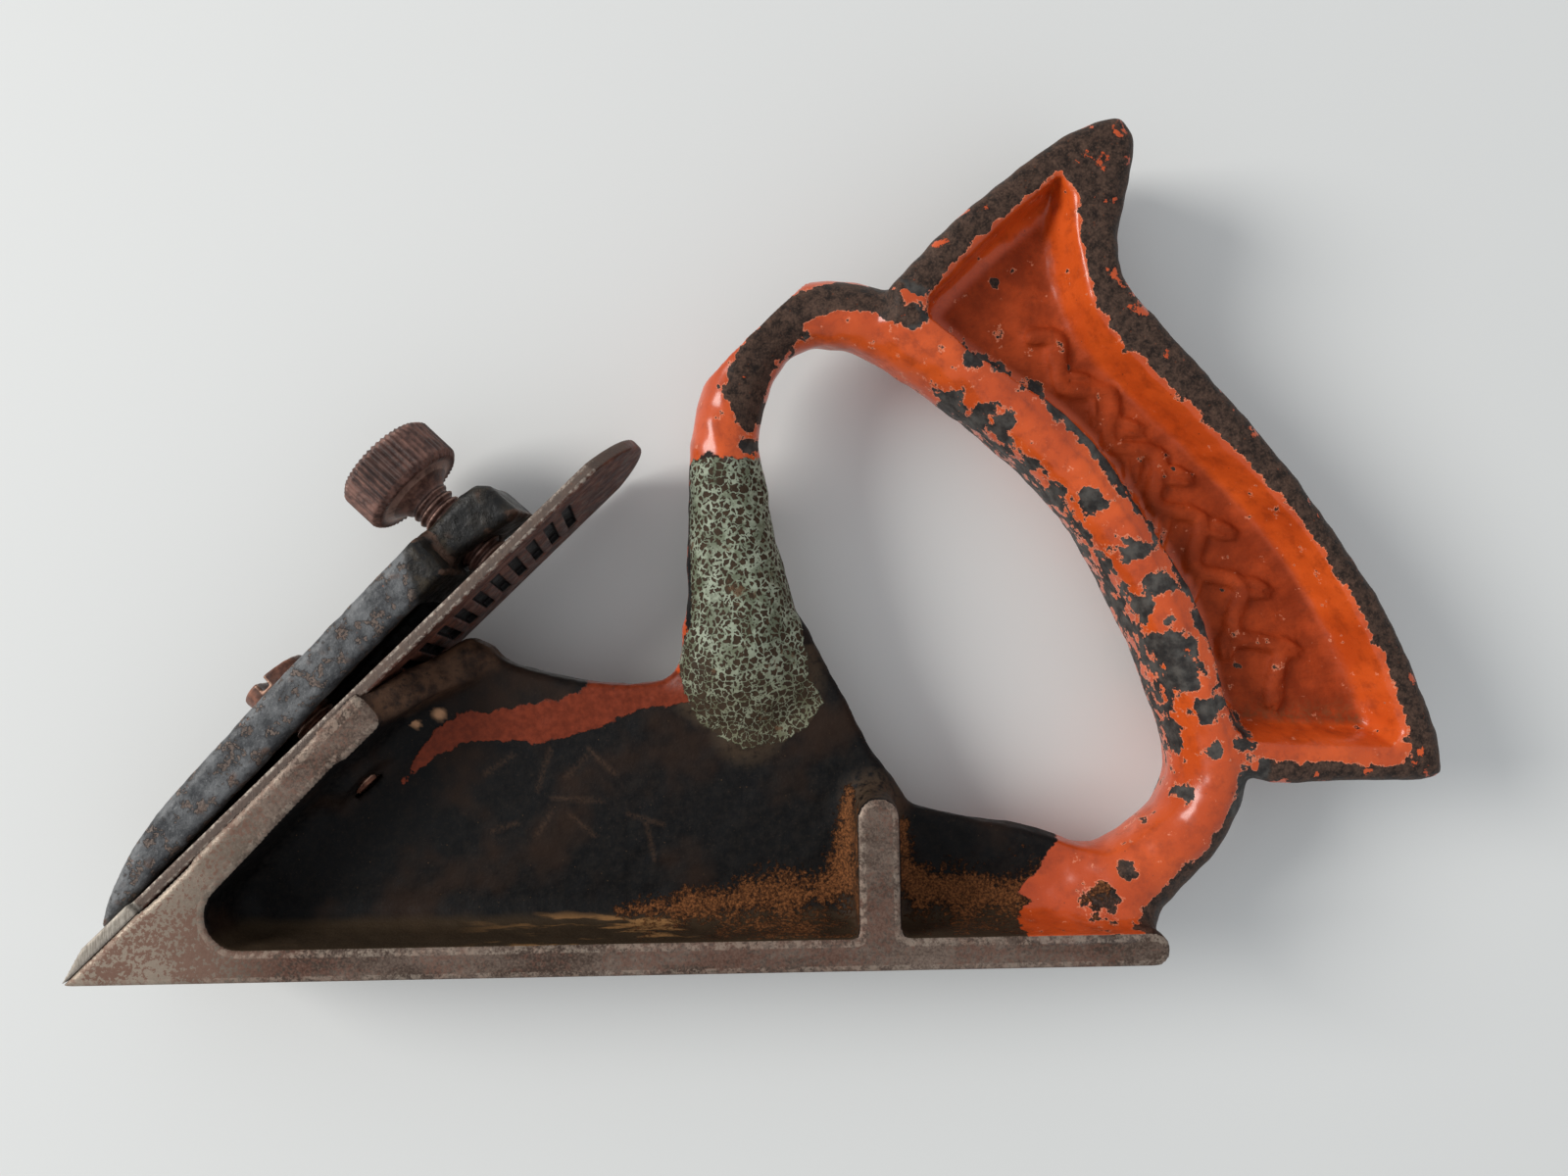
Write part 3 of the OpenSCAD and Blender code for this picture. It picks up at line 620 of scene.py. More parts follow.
def make_lever_cap():
    block = Block((7, -CAP_W / 2 - 1.5, -1), (107, CAP_W / 2 + 1.5, 15), 0.36)
    s, y, n = block.side_x, block.y, block.side_z
    top = cap_top(s)
    outline = [(9.7, 0.1), (11.9, 0.1)] + smooth(CAP_LOW_LINE[::-1], 3) + smooth(CAP_TOP[::-1], 5)
    flat = outline_distance(outline, s, n)
    crown = CAP_CROWN * share(1 - (block.y / (CAP_W / 2)) ** 2)
    lift = block.side(np.clip(n / np.maximum(top, 1), 0, 1.2) * share(top / 8))
    field = plate(block.side(flat) - crown * lift, y, CAP_W / 2, 1.3)
    boss = plate(block.side(outline_distance(CAP_BOSS, s, n)), y, CAP_BOSS_W / 2, 1.8)
    field = join(field, boss, 1.6)
    ceiling = [(a, cap_top(a) - CAP_WALL) for a in np.arange(83, 19, -7.0)]
    hollow_side = outline_distance([(20, -2), (83, -2)] + ceiling, s, n)
    hollow = plate(block.side(hollow_side), y, CAP_W / 2 - CAP_WALL, 1.2)
    field = cut(field, hollow, 0.5)
    keyhole = np.minimum(
        np.hypot(block.x - np.clip(block.x, CAP_SCREW_S - CAP_TRAVEL, CAP_SCREW_S), y) - THREAD_R - 0.4,
        np.hypot(block.x - CAP_SCREW_S + CAP_TRAVEL, y) - HEAD_R - 0.4)
    field = cut(field, keyhole + 0 * block.z, 0.5)
    lean_s = block.x - THUMB_S + math.tan(THUMB_LEAN) * block.z
    field = cut(field, np.maximum(np.hypot(lean_s, y) - THREAD_R - 0.1, -block.z), 0.5)
    rough = waves(block, 16, 11) * 0.10 + waves(block, 5, 12) * 0.05
    field = field + rough + waves(block, 2.6, 13) * 0.035
    place = BED_PLACE @ Matrix.Translation((0, 0, IRON_T))

    def marks(points, out):
        s, y, n = points.T
        # inside: the hollow underside, coloured near black in the finish as painted shade
        inside = (np.abs(y) < CAP_W / 2 - CAP_WALL + 0.5) & (n < cap_top(s) - CAP_WALL + 0.6)
        return {"inside": 1.0 * (inside & (s < 84)), "boss": share((s - 85.5 - 0.6 * (n - 8)) / 1.2)}

    return build_piece("cast_lever_cap", block, field, place, marks)


# ==== Screws ====


def thread(block, radius, low, high):
    """Field of a threaded shaft along Z."""
    away = np.hypot(block.x, block.y)
    turn = np.arctan2(block.y, block.x) / (2 * math.pi)
    phase = np.mod(block.z / THREAD_PITCH - turn, 1)
    groove = THREAD_DEPTH * share(1.15 - 2.6 * np.abs(phase - 0.5))
    shaft = (away - radius + groove) * 0.75
    return np.maximum(shaft, np.maximum(low - block.z, block.z - high))


def make_lever_cap_screw():
    low = -CAP_SCREW_BELOW
    head = head_height()
    block = Block((-HEAD_R - 1, -HEAD_R - 1, low - 1), (HEAD_R + 1, HEAD_R + 1, head + HEAD_H + 1), 0.22)
    away = np.hypot(block.x, block.y)
    field = thread(block, THREAD_R, low, head + 1)
    field = np.maximum(field, (away + low + 0.8 - block.z - THREAD_R + 0.1) * 0.7)
    cheese = plate(away - HEAD_R, block.z - head - HEAD_H / 2, HEAD_H / 2, 0.5)
    field = join(field, cheese, 0.3)
    slot = np.maximum(np.abs(block.x) - 0.8, head + HEAD_H - 1.9 - block.z)
    field = cut(field, slot + 0 * block.y, 0.3)
    field = field + waves(block, 2.5, 21) * 0.05
    return build_piece("slotted_cap_screw", block, field, SCREW_PLACE)


def head_height():
    """Height of the cap screw head's underside above the bed, from the screw's box."""
    high = node_box("lever_cap_screw")[1]
    # the head's top rim is the highest point of the node: z = s sin + n cos + r sin
    top = (high.z - CAP_SCREW_S * BED_SIN - HEAD_R * BED_SIN) / BED_COS
    return top - HEAD_H


def make_thumbscrew():
    top = KNOB_Z + KNOB_T
    block = Block((-KNOB_R - 1, -KNOB_R - 1, -0.5), (KNOB_R + 1, KNOB_R + 1, top + 1), 0.24)
    away = np.hypot(block.x, block.y)
    angle = np.arctan2(block.y, block.x)
    field = thread(block, THREAD_R, 0.2, KNOB_Z)
    field = np.maximum(field, (away - block.z - THREAD_R + 2.0) * 0.7)
    rise = np.linspace(0, 1, 9)
    neck = ([(0, KNOB_Z - 4.4), (3.1, KNOB_Z - 4.4)]
            + [(3.1 + 4.1 * t ** 2.2, KNOB_Z - 4.2 + 4.6 * t) for t in rise] + [(0, KNOB_Z + 0.4)])
    profile_x, profile_z = np.meshgrid(np.arange(0, KNOB_R * 1.6, 0.1), np.arange(-1, top + 1.5, 0.1),
                                       indexing="ij")
    knob = ([(0, KNOB_Z + 0.6), (6.6, KNOB_Z + 0.9), (7.6, KNOB_Z + 0.2), (KNOB_R - 1.0, KNOB_Z),
             (KNOB_R, KNOB_Z + 1.0), (KNOB_R, top - 1.0), (KNOB_R - 1.0, top), (7.4, top - 0.05),
             (6.8, top - 0.5), (0, top - 0.6)])

    def turned(points):
        flat = outline_distance(points + [(-p[0], p[1]) for p in reversed(points)], profile_x, profile_z)
        i = np.clip(away / 0.1, 0, flat.shape[0] - 1.001) + 0 * block.z
        j = np.clip((block.z + 1) / 0.1, 0, flat.shape[1] - 1.001) + 0 * away
        a, b = i.astype(int), j.astype(int)
        f, g = i - a, j - b
        return (flat[a, b] * (1 - f) * (1 - g) + flat[a + 1, b] * f * (1 - g)
                + flat[a, b + 1] * (1 - f) * g + flat[a + 1, b + 1] * f * g)

    body = turned(knob)
    ridge = np.abs(np.mod(angle * KNURLS / (2 * math.pi), 1) - 0.5) * 2
    body = body + 0.5 * ridge ** 1.2 * share((away - KNOB_R + 2) / 1.2)
    field = join(field, join(turned(neck), body, 0.8), 0.6)
    return build_piece("knurled_thumbscrew", block, field, THUMB_PLACE)


# ==== Finishes ====


def tone(red, green, blue):
    """A colour given as 0 to 255 on a screen, in linear light."""
    shares = (red / 255, green / 255, blue / 255)
    return tuple(c / 12.92 if c <= 0.04045 else ((c + 0.055) / 1.055) ** 2.4 for c in shares)


class Wiring:
    """Short calls that add nodes to one material or group."""

    def __init__(self, tree):
        self.tree = tree
        self.millimetres = None

    def add(self, kind, plugs=(), **settings):
        node = self.tree.nodes.new(kind)
        for name, value in settings.items():
            setattr(node, name, value)
        for socket, value in dict(plugs).items():
            self.plug(node.inputs[socket], value)
        return node

    def plug(self, socket, value):
        if isinstance(value, bpy.types.NodeSocket):
            self.tree.links.new(value, socket)
        elif isinstance(value, tuple) and len(value) == 3 and socket.type == "RGBA":
            socket.default_value = (*value, 1)
        else:
            socket.default_value = value

    def place(self, stretch=(1, 1, 1)):
        """Position on the object, in millimetres."""
        if self.millimetres is None:
            where = self.add("ShaderNodeTexCoord").outputs["Object"]
            self.millimetres = self.add("ShaderNodeVectorMath", {0: where, 1: (1000, 1000, 1000)},
                                        operation="MULTIPLY").outputs[0]
        if stretch == (1, 1, 1):
            return self.millimetres
        return self.add("ShaderNodeVectorMath", {0: self.millimetres, 1: stretch},
                        operation="MULTIPLY").outputs[0]

    def mark(self, name):
        return self.add("ShaderNodeAttribute", attribute_name=name).outputs["Fac"]

    def math(self, operation, a, b=0.0, c=0.0, clamp=False):
        return self.add("ShaderNodeMath", {0: a, 1: b, 2: c}, operation=operation, use_clamp=clamp).outputs[0]

    def times(self, a, b):
        return self.math("MULTIPLY", a, b)

    def times_plus(self, a, b, c):
        return self.math("MULTIPLY_ADD", a, b, c)

    def rest(self, a):
        """What a leaves of 1."""
        return self.math("SUBTRACT", 1, a)

    def noise(self, size, detail=4.0, rough=0.55, at=None, twist=0.0):
        """Fractal noise around 0.5 whose features are about size millimetres across."""
        scale = self.math("DIVIDE", 1.0, size) if isinstance(size, bpy.types.NodeSocket) else 1 / size
        return self.add("ShaderNodeTexNoise", {"Vector": at or self.place(), "Scale": scale, "Detail": detail,
                                               "Roughness": rough, "Distortion": twist}).outputs["Fac"]

    def cells(self, size, feature="F1", output="Distance", at=None):
        return self.add("ShaderNodeTexVoronoi", {"Vector": at or self.place(), "Scale": 1 / size},
                        feature=feature).outputs[output]

    def step(self, value, low, high, to_low=0.0, to_high=1.0, curve="SMOOTHSTEP"):
        return self.add("ShaderNodeMapRange", {0: value, 1: low, 2: high, 3: to_low, 4: to_high},
                        interpolation_type=curve).outputs[0]

    def mix(self, amount, a, b, blend="MIX"):
        """Colour a with b laid over it by amount."""
        return self.add("ShaderNodeMix", {0: amount, 6: a, 7: b}, data_type="RGBA",
                        blend_type=blend).outputs[2]

    def blend(self, amount, a, b):
        return self.add("ShaderNodeMix", {0: amount, 2: a, 3: b}, data_type="FLOAT").outputs[0]

    def use(self, group, **plugs):
        node = self.add("ShaderNodeGroup", node_tree=group)
        for name, value in plugs.items():
            self.plug(node.inputs[name.replace("_", " ")], value)
        return node.outputs


def new_group(name, inputs, outputs):
    tree = bpy.data.node_groups.new(name, "ShaderNodeTree")
    for label, value in inputs.items():
        tree.interface.new_socket(label, in_out="INPUT", socket_type="NodeSocketFloat").default_value = value
    for label, kind in outputs.items():
        tree.interface.new_socket(label, in_out="OUTPUT", socket_type="NodeSocket" + kind)
    w = Wiring(tree)
    return w, w.add("NodeGroupInput").outputs, w.add("NodeGroupOutput").inputs, tree


def make_ragged_edge():
    """A mask whose edge lies where Amount passes 0, frayed by noise, and a line along that edge."""
    w, given, result, tree = new_group(
        "ragged edge", {"Amount": 0, "Size": 4, "Fray": 0.5, "Soft": 0.1},
        {"Mask": "Float", "Line": "Float"})
    drift = w.math("SUBTRACT", w.noise(given["Size"], 6, 0.62), 0.5)
    value = w.times_plus(drift, w.times(given["Fray"], 2), given["Amount"])
    ratio = w.math("DIVIDE", value, given["Soft"])
    w.plug(result["Mask"], w.step(ratio, -1.0, 1.0))
    w.plug(result["Line"], w.step(w.math("ABSOLUTE", w.math("ADD", ratio, 1.5)), 0.0, 3.0, 1.0, 0.0))
    return tree


def make_specks():
    """Small round specks scattered at random; Share is how much of the surface has them."""
    w, given, result, tree = new_group("specks", {"Size": 1, "Share": 0.3}, {"Mask": "Float"})
    spot = w.add("ShaderNodeTexVoronoi", {"Vector": w.place(), "Scale": w.math("DIVIDE", 1.0, given["Size"])})
    pick = w.add("ShaderNodeSeparateColor", {0: spot.outputs["Color"]}).outputs[0]
    size = w.times(w.step(pick, 0.0, 1.0, 0.1, 0.42), w.math("LESS_THAN", pick, given["Share"]))
    w.plug(result["Mask"], w.step(w.math("SUBTRACT", size, spot.outputs["Distance"]), -0.02, 0.1))
    return tree


def make_old_iron():
    """Bare iron, browned by age: darker and lighter patches, rust specks and rubbed points."""
    w, given, result, tree = new_group("old iron", {"Size": 3, "Rust": 0.3, "Rubbed": 0.0},
                                       {"Color": "Color", "Roughness": "Float", "Height": "Float"})
    cloud = w.noise(given["Size"], 6, 0.65)
    fine = w.noise(0.4, 4, 0.7)
    color = w.mix(w.step(cloud, 0.34, 0.66), tone(33, 25, 21), tone(78, 59, 49))
    color = w.mix(w.times(w.step(fine, 0.48, 0.72), 0.45), color, tone(108, 84, 70))
    color = w.mix(w.times(w.step(fine, 0.5, 0.3), 0.6), color, tone(28, 22, 20))
    specks = w.use(SPECKS, Size=0.8, Share=0.5)["Mask"]
    color = w.mix(w.times(specks, given["Rust"]), color, tone(122, 62, 34))
    color = w.mix(w.times(given["Rubbed"], w.step(fine, 0.25, 0.55)), color, tone(196, 184, 170))
    w.plug(result["Color"], color)
    w.plug(result["Roughness"], w.step(cloud, 0.3, 0.7, 0.42, 0.68))
    w.plug(result["Height"], w.times_plus(w.noise(0.8, 3, 0.6), 0.4, w.times(fine, 0.3)))
    return tree


def make_rust_dust():
    """Granular orange-brown rust powder."""
    w, given, result, tree = new_group(
        "rust dust", {"Amount": 0}, {"Mask": "Float", "Color": "Color", "Height": "Float"})
    grain = w.noise(0.75, 5, 0.7)
    value = w.math("ADD", w.times(w.math("SUBTRACT", grain, 0.5), 3.6), given["Amount"])
    value = w.times_plus(w.math("SUBTRACT", w.noise(6, 3, 0.5), 0.5), 2.4, value)
    w.plug(result["Mask"], w.step(value, -0.1, 0.55))
    fine = w.step(w.noise(0.4, 3, 0.7), 0.35, 0.7)
    w.plug(result["Color"], w.mix(fine, tone(74, 44, 24), tone(150, 94, 54)))
    w.plug(result["Height"], grain)
    return tree


SPECKS = make_specks()
RAGGED_EDGE = make_ragged_edge()
OLD_IRON = make_old_iron()
RUST_DUST = make_rust_dust()


def new_finish(name, specular):
    material = bpy.data.materials.new(name)
    material.use_nodes = True
    shader = material.node_tree.nodes["Principled BSDF"]
    shader.inputs["Specular IOR Level"].default_value = specular
    return material, Wiring(material.node_tree), shader


def wire_up(w, shader, color, roughness, metallic, height):
    """Results into the material; the height is in millimetres."""
    bump = w.add("ShaderNodeBump", {"Height": height, "Strength": 1.0, "Distance": MM})
    for name, value in (("Base Color", color), ("Roughness", roughness), ("Metallic", metallic),
                        ("Normal", bump.outputs[0])):
        w.plug(shader.inputs[name], value)


def finish_casting():
    """Orange and crackled paint over old iron, black enamel on the web, ground sides and rust dust."""
    material, w, shader = new_finish("casting_paint", 0.14)
    grain = w.noise(1.1, 4, 0.6)
    fine = w.noise(0.4, 4, 0.7)
    wide = w.noise(14, 3, 0.5)

    iron = w.use(OLD_IRON, Size=1.5, Rust=0.3)
    color, rough = iron["Color"], iron["Roughness"]
    undercoat = w.mix(w.step(w.noise(2.2, 5, 0.6), 0.35, 0.7), tone(38, 38, 38), tone(82, 80, 76))
    color = w.mix(w.times(w.mark("undercoat"), 0.85), color, undercoat)

    # black enamel on the web, with light specks and a brown haze in places
    black = w.mix(w.step(grain, 0.35, 0.75), tone(8, 8, 9), tone(26, 23, 21))
    black = w.mix(w.times(w.step(fine, 0.58, 0.74), 0.45), black, tone(66, 52, 42))
    black = w.mix(w.times(w.use(SPECKS, Size=1.1, Share=0.16)["Mask"], 0.55), black, tone(120, 92, 62))
    black = w.mix(w.times(w.step(wide, 0.48, 0.68), 0.5), black, tone(52, 33, 20))
    halo = w.times(w.mark("halo"), w.step(grain, 0.2, 0.55))
    black = w.mix(w.times(halo, 0.7), black, tone(70, 56, 42))
    haze = w.times(w.mark("haze"), w.step(grain, 0.3, 0.6))
    black = w.mix(w.times(haze, 0.75), black, tone(96, 76, 58))
    scratch = w.times(w.mark("scratch"), w.step(fine, 0.35, 0.55))
    black = w.mix(w.times(scratch, 0.55), black, tone(74, 54, 40))
    black = w.mix(w.times(w.mark("tail"), w.step(grain, 0.2, 0.5)), black,
                  w.mix(w.step(w.noise(3, 5, 0.6), 0.35, 0.65), tone(38, 25, 18), tone(78, 55, 40)))
    black = w.mix(w.mark("tan"), black, tone(176, 132, 98))
    streak = w.noise(3.6, 4, 0.6, w.place((0.2, 1.0, 1.0)))
    shelf = w.mark("shelf")
    black = w.mix(w.times(shelf, 0.8), black, tone(62, 49, 35))
    black = w.mix(w.times(w.times(shelf, w.step(streak, 0.55, 0.62)), w.mark("streak")), black,
                  tone(138, 100, 62))

    # orange paint
    orange = w.mix(w.step(wide, 0.35, 0.65), tone(180, 68, 22), tone(202, 82, 28))
    orange = w.mix(w.times(w.step(w.noise(2.6, 5, 0.65), 0.46, 0.72), 0.6), orange, tone(142, 52, 18))
    orange = w.mix(w.times(w.use(SPECKS, Size=1.3, Share=0.22)["Mask"], 0.8), orange, tone(60, 34, 22))
    orange = w.mix(w.times(w.step(fine, 0.6, 0.78), 0.3), orange, tone(236, 140, 96))
    panel = w.mark("panel")
    dull = w.mix(w.step(w.noise(5, 5, 0.6), 0.35, 0.7), tone(128, 46, 16), tone(164, 64, 26))
    dull = w.mix(w.times(w.step(grain, 0.52, 0.75), 0.35), dull, tone(96, 38, 16))
    orange = w.mix(w.times(panel, 0.95), orange, dull)
    dusty = w.times(w.mark("panel_dust"), w.step(w.noise(1.2, 5, 0.7), 0.4, 0.62))
    orange = w.mix(w.times(dusty, 0.8), orange, tone(112, 72, 42))
    band = w.mix(w.step(grain, 0.3, 0.7), tone(98, 38, 20), tone(122, 50, 28))
    orange = w.mix(w.mark("on_web"), orange, band)

    # crackled grey-green paint on the column
    twist = w.add("ShaderNodeTexNoise", {"Vector": w.place(), "Scale": 1.1, "Detail": 2.0}).outputs["Color"]
    twist = w.add("ShaderNodeVectorMath", {0: twist, 1: (1.5, 1.5, 1.5)}, operation="MULTIPLY").outputs[0]
    warp = w.add("ShaderNodeVectorMath", {0: w.place(), 1: twist}, operation="ADD").outputs[0]
    crack = w.cells(1.25, "DISTANCE_TO_EDGE", "Distance", warp)
    foot = w.mark("foot")
    reach = w.math("SUBTRACT", w.noise(5, 4, 0.6), 0.5)
    reach = w.times_plus(reach, 0.3, w.blend(foot, 0.125, 0.07))
    vein = w.step(w.math("SUBTRACT", crack, reach), -0.025, 0.035, 1.0, 0.0)
    pale = w.mix(w.step(w.noise(3, 5, 0.65), 0.38, 0.62), tone(98, 104, 84), tone(148, 156, 136))
    pale = w.mix(w.times(foot, 0.45), pale, tone(104, 96, 70))
    crackle = w.mix(vein, w.mix(grain, tone(30, 23, 17), tone(74, 58, 42)), pale)
    worn_off = w.times(w.step(w.noise(4.5, 6, 0.7), 0.6, 0.66), 0.85)
    crackle = w.mix(worn_off, crackle, tone(92, 66, 46))

    zone = w.use(RAGGED_EDGE, Amount=w.mark("orange"), Size=2.4, Fray=1.5, Soft=0.14)["Mask"]
    column = w.use(RAGGED_EDGE, Amount=w.mark("crackle"), Size=1.6, Fray=1.2, Soft=0.12)["Mask"]
    worn = w.use(RAGGED_EDGE, Amount=w.times(w.mark("bare"), 1.5), Size=2.8, Fray=2.3, Soft=0.05)
    left_over = w.use(RAGGED_EDGE, Amount=w.mark("remnant"), Size=4.5, Fray=3.0, Soft=0.06)["Mask"]
    bared = w.times(worn["Mask"], w.rest(left_over))
    paint = w.times(zone, w.rest(bared))
    # pale pink line along the worn paint's edges: paler chipped paint, plus a painted highlight on the
    # paint's lip
    lip_and_highlight = w.times(w.times(worn["Line"], 0.55), w.rest(w.mark("on_web")))
    orange = w.mix(lip_and_highlight, orange, tone(232, 150, 116))
    color = w.mix(zone, black, color)
    color = w.mix(paint, color, orange)
    color = w.mix(column, color, crackle)
    rough = w.blend(zone, w.blend(w.step(grain, 0.3, 0.7), 0.55, 0.72), rough)
    rough = w.blend(paint, rough, w.blend(panel, w.step(grain, 0.2, 0.8, 0.30, 0.44), 0.66))
    rough = w.blend(column, rough, w.blend(vein, 0.7, 0.42))

    # ground sides, the sole and the bed
    nose = w.mark("nose")
    cloud = w.step(w.noise(9, 6, 0.65, w.place((0.5, 1, 1.2))), 0.35, 0.65)
    side = w.mix(cloud, tone(72, 58, 50), tone(112, 96, 86))
    side = w.mix(w.times(w.step(fine, 0.45, 0.7), 0.4), side, tone(140, 124, 110))
    side = w.mix(w.times(w.step(fine, 0.5, 0.32), 0.5), side, tone(48, 38, 34))
    side = w.mix(w.times(nose, 0.7), side, tone(158, 144, 128))
    blotch = w.times_plus(w.math("SUBTRACT", wide, 0.5), 0.6, w.noise(0.8, 4, 0.7))
    blotch = w.step(blotch, 0.50, 0.55)
    side = w.mix(w.times(blotch, w.blend(nose, 0.4, 0.7)), side, tone(100, 60, 47))
    edge = w.times(w.step(w.mark("edge"), 0.13, 0.22), w.step(w.noise(1.6, 6, 0.75), 0.44, 0.6))
    side = w.mix(w.times(edge, 0.35), side, tone(176, 162, 146))
    ground = w.use(RAGGED_EDGE, Amount=w.mark("ground"), Size=0.8, Fray=0.12, Soft=0.08)["Mask"]
    color = w.mix(ground, color, side)
    rough = w.blend(ground, rough, w.blend(blotch, 0.42, 0.6))

    dust = w.use(RUST_DUST, Amount=w.times(w.mark("dust"), 1.5))
    dusted = w.times(dust["Mask"], w.rest(w.math("MAXIMUM", paint, ground)))
    color = w.mix(w.times(dusted, 0.85), color, dust["Color"])
    rough = w.blend(dusted, rough, 0.9)
    coated = w.blend(w.math("MAXIMUM", panel, w.mark("on_web")), 0.6, 0.0)
    w.plug(shader.inputs["Coat Weight"], w.times(paint, coated))
    shader.inputs["Coat Roughness"].default_value = 0.2
    height = w.times(paint, 0.12)
    height = w.times_plus(w.noise(2.4, 5, 0.55), w.blend(ground, 0.18, 0.02), height)
    height = w.times_plus(iron["Height"], w.blend(paint, 0.09, 0.012), height)
    height = w.times_plus(w.noise(1.6, 4, 0.6, w.place((0.35, 1, 1))), w.times(panel, 0.3), height)
    height = w.times_plus(w.times(vein, column), 0.12, height)
    height = w.times_plus(w.times(dust["Height"], dusted), 0.5, height)
    wire_up(w, shader, color, rough, w.times(ground, 0.35), height)
    return material


def finish_iron():
    """Tool steel: pale ground upper side and edges, dark reddish brown below."""
    material, w, shader = new_finish("iron_steel", 0.4)
    old = w.use(OLD_IRON, Size=2.2, Rust=0.5, Rubbed=0.0)
    grind = w.noise(0.5, 4, 0.6, w.place((2.2, 1, 0.25)))
    rubbed = w.times(w.step(w.mark("edge"), 0.12, 0.3), w.step(w.noise(1.0, 6, 0.75), 0.46, 0.6))
    rubbed = w.times(rubbed, w.mark("rim"))
    pale = w.mix(w.step(grind, 0.3, 0.7), tone(122, 113, 102), tone(170, 162, 150))
    below = w.mix(w.step(w.noise(2.5, 5, 0.65), 0.35, 0.7), tone(58, 30, 21), tone(112, 66, 49))
    upper = w.mix(0.5, old["Color"], tone(112, 96, 86))
    color = w.mix(w.mark("ground_side"), w.mix(w.mark("below"), upper, below), pale)
    color = w.mix(w.times(rubbed, 0.6), color, tone(176, 164, 150))
    # painted shade: the notch grooves coloured near black
    color = w.mix(w.mark("notch"), color, tone(14, 9, 8))
    metal = w.times(w.rest(w.mark("below")), 0.35)
    height = w.times_plus(grind, 0.05, w.times(old["Height"], 0.12))
    wire_up(w, shader, color, old["Roughness"], metal, height)
    return material


def finish_cap():
    """Blue-grey enamel on the bar, flaked, with rust specks; near-black and olive on the boss, and painted
    shade near-black inside the hollow.
    """
    material, w, shader = new_finish("cap_enamel", 0.3)
    old = w.use(OLD_IRON, Size=2.6, Rust=0.25)
    fine = w.noise(0.5, 4, 0.7)
    blue = w.mix(w.step(w.noise(5, 6, 0.65), 0.38, 0.62), tone(54, 55, 57), tone(98, 99, 100))
    blue = w.mix(w.times(w.step(fine, 0.5, 0.72), 0.35), blue, tone(140, 140, 138))
    flake = w.use(RAGGED_EDGE, Amount=-0.3, Size=2.0, Fray=1.9, Soft=0.06)
    blue = w.mix(flake["Mask"], blue, w.mix(w.step(fine, 0.35, 0.65), tone(54, 46, 42), tone(112, 96, 86)))
    blue = w.mix(w.times(flake["Line"], 0.5), blue, tone(34, 33, 34))
    rusty = w.times(w.step(w.noise(7, 3, 0.5), 0.45, 0.6), w.use(SPECKS, Size=1.5, Share=0.5)["Mask"])
    blue = w.mix(w.times(rusty, 0.75), blue, tone(146, 90, 64))
    boss = w.mix(w.step(w.noise(3, 5, 0.62), 0.4, 0.7), tone(16, 15, 14), tone(40, 35, 28))
    boss = w.mix(w.times(w.step(w.noise(5, 4, 0.6), 0.52, 0.68), 0.6), boss, tone(66, 54, 36))
    boss = w.mix(w.times(w.step(fine, 0.56, 0.74), 0.4), boss, tone(84, 78, 68))
    color = w.mix(w.mark("boss"), blue, boss)
    worn = w.times(w.step(w.mark("edge"), 0.03, 0.13), w.step(w.noise(4, 5, 0.65), 0.36, 0.56))
    color = w.mix(w.times(worn, 0.85), color, tone(96, 72, 59))
    # painted shade: the hollow underside coloured near black
    inside = w.mix(w.step(w.noise(3, 4), 0.4, 0.7), tone(10, 8, 8), tone(30, 20, 14))
    color = w.mix(w.mark("inside"), color, inside)
    height = w.times_plus(w.noise(1.7, 6, 0.62), 0.3, w.times(flake["Mask"], -0.16))
    height = w.times_plus(old["Height"], 0.1, height)
    wire_up(w, shader, color, w.step(w.noise(2, 4), 0.3, 0.7, 0.34, 0.56), w.times(worn, 0.3), height)
    return material


def finish_screw(name, low, high, crest, rust):
    """Rusted steel, rubbed lighter on its crests, with painted shade darkening its grooves."""
    material, w, shader = new_finish(name, 0.45)
    cloud = w.noise(1.8, 6, 0.65)
    color = w.mix(w.step(cloud, 0.35, 0.68), low, high)
    color = w.mix(w.times(w.use(SPECKS, Size=0.7, Share=0.5)["Mask"], rust), color, tone(150, 84, 50))
    # painted shade: darker brown in the thread and knurl grooves
    color = w.mix(w.times(w.step(w.mark("hollow"), 0.3, 0.75), 0.7), color, tone(34, 22, 18))
    color = w.mix(w.times(w.step(w.mark("edge"), 0.2, 0.5), w.step(cloud, 0.3, 0.6, 0.2, 0.8)), color, crest)
    metal = w.step(w.mark("edge"), 0.1, 0.4, 0.15, 0.6)
    wire_up(w, shader, color, w.step(cloud, 0.3, 0.7, 0.36, 0.6), metal, w.times(w.noise(0.6, 5, 0.65), 0.09))
    return material


# ==== Pieces ====

PIECES = [
    (make_body_casting, "body_casting", "body", "painted_casting", finish_casting()),
    (make_plane_iron, "plane_iron", "iron", "tool_steel", finish_iron()),
    (make_lever_cap, "lever_cap", "cap", "blued_casting", finish_cap()),
    (make_lever_cap_screw, "lever_cap_screw", "cap_screw", "rusty_screw",
     finish_screw("screw_rust", tone(82, 48, 36), tone(146, 96, 74), tone(190, 150, 128), 0.6)),
    (make_thumbscrew, "thumbscrew", "thumb", "knob_steel",
     finish_screw("knob_patina", tone(66, 42, 35), tone(124, 88, 76), tone(176, 142, 128), 0.3)),
]
for make, node, body, slot, material in PIECES:
    made = make()
    made.data.materials.append(material)
    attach(made, body)
    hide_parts(node)
    print(made.name, len(made.data.polygons))

# ==== Camera, board and light ====

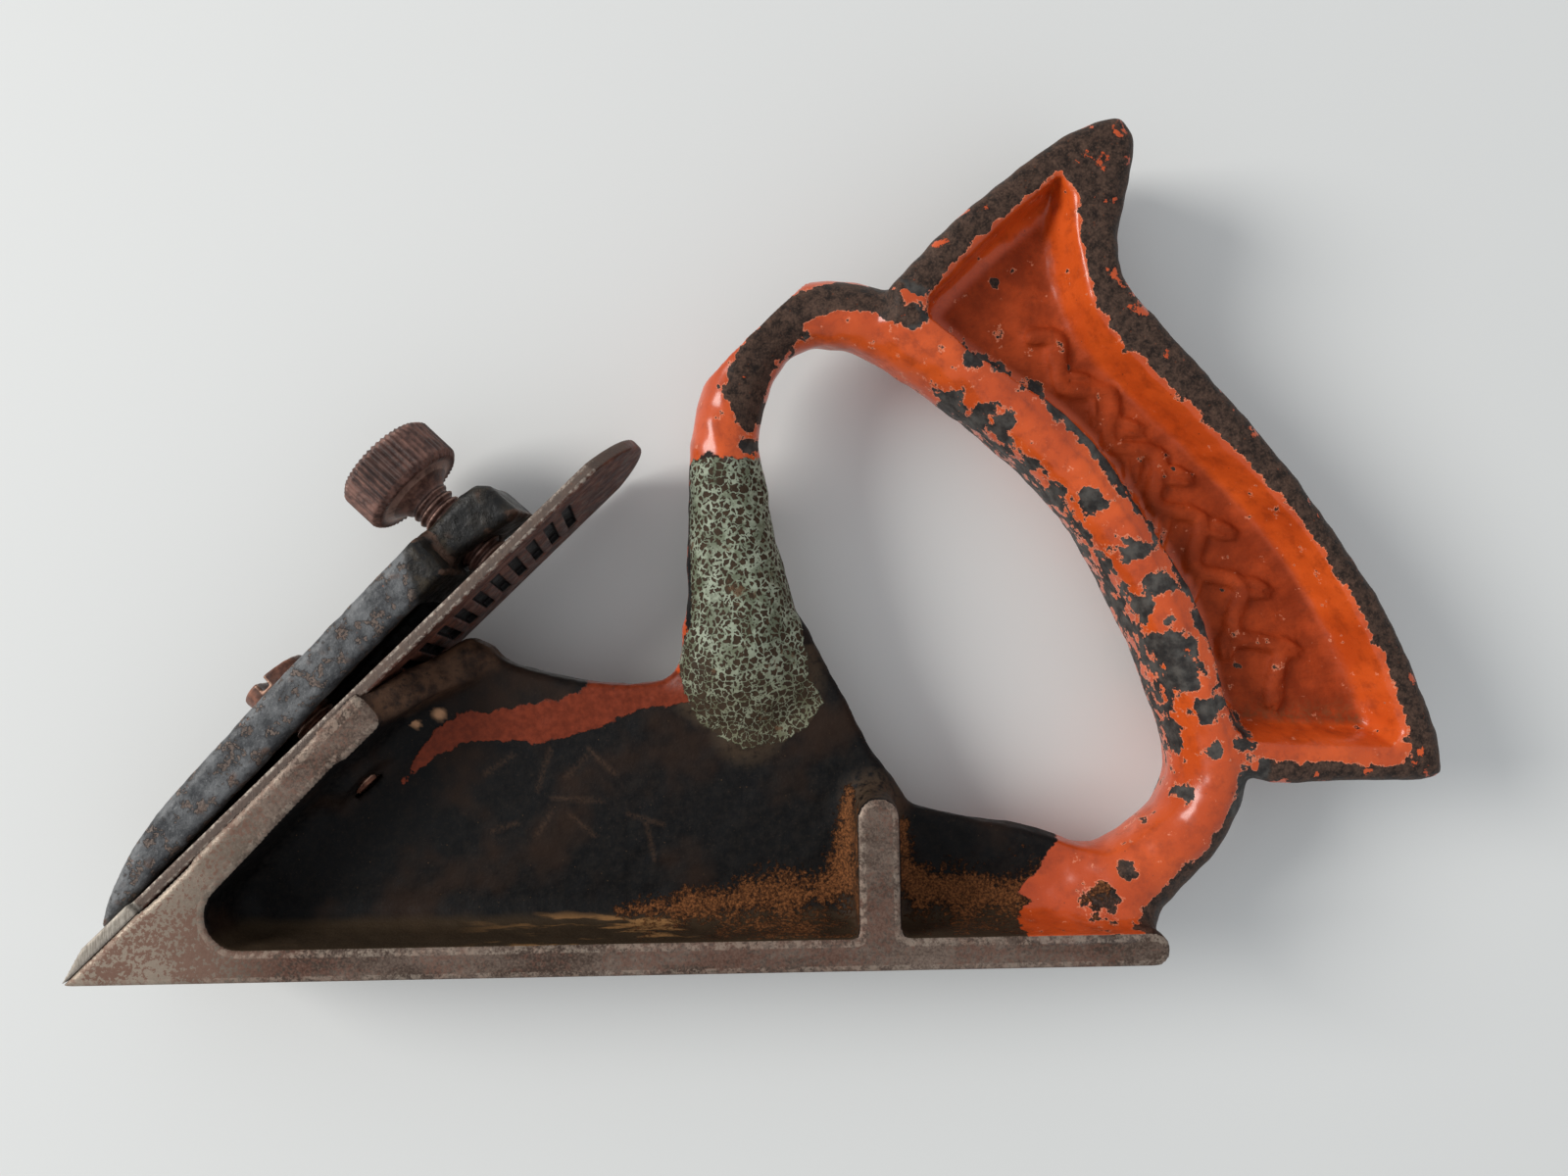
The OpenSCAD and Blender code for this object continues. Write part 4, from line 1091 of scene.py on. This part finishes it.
CAMERA_AT = Vector((28.0, -196.34, 61.85)) * MM
ROLL = math.radians(1.094)
camera_data = bpy.data.cameras.new("camera")
camera_data.lens = 25.875
camera_data.sensor_width = 36
camera_data.clip_start = 0.01
camera = bpy.data.objects.new("camera", camera_data)
camera.matrix_world = Matrix((
    (math.cos(ROLL), math.sin(ROLL), 0, CAMERA_AT.x),
    (0, 0, -1, CAMERA_AT.y),
    (-math.sin(ROLL), math.cos(ROLL), 0, CAMERA_AT.z),
    (0, 0, 0, 1)))
bpy.context.scene.collection.objects.link(camera)
bpy.context.scene.camera = camera

board_mesh = bpy.data.meshes.new("board")
reach = 6
behind = (HALF_WIDTH + 0.4) * MM
board_mesh.from_pydata([(-reach, behind, -reach), (reach, behind, -reach), (reach, behind, reach),
                        (-reach, behind, reach)], [], [(0, 1, 2, 3)])
board = bpy.data.objects.new("board", board_mesh)
bpy.context.scene.collection.objects.link(board)
board_material, w, shader = new_finish("board_white", 0.3)
shader.inputs["Base Color"].default_value = (0.70, 0.705, 0.69, 1)
shader.inputs["Roughness"].default_value = 0.7
behind_it = w.add("ShaderNodeNewGeometry").outputs["Backfacing"]
let_through = w.math("MAXIMUM", behind_it, w.add("ShaderNodeLightPath").outputs["Is Shadow Ray"])
clear = w.add("ShaderNodeBsdfTransparent").outputs[0]
seen = w.add("ShaderNodeMixShader", {0: let_through, 1: shader.outputs[0], 2: clear})
w.plug(board_material.node_tree.nodes["Material Output"].inputs["Surface"], seen.outputs[0])
board.data.materials.append(board_material)

world = bpy.data.worlds.new("studio")
world.use_nodes = True
world.node_tree.nodes["Background"].inputs["Color"].default_value = (0.93, 0.96, 1.0, 1)
world.node_tree.nodes["Background"].inputs["Strength"].default_value = 0.64
bpy.context.scene.world = world


def soft_light(name, at, aim, size, power, colour):
    data = bpy.data.lights.new(name, "AREA")
    data.shape = "DISK"
    data.size = size
    data.energy = power
    data.color = colour
    lamp = bpy.data.objects.new(name, data)
    lamp.location = at
    lamp.rotation_euler = (Vector(aim) - Vector(at)).to_track_quat("-Z", "Y").to_euler()
    bpy.context.scene.collection.objects.link(lamp)


soft_light("window", (-1.4, -0.95, 0.42), (0.02, 0, 0.06), 0.8, 24, (1.0, 0.985, 0.955))
soft_light("rear", (-0.8, 1.6, 0.7), (0.02, 0, 0.06), 1.4, 14, (1.0, 0.99, 0.97))
bpy.context.scene.view_settings.view_transform = "Standard"
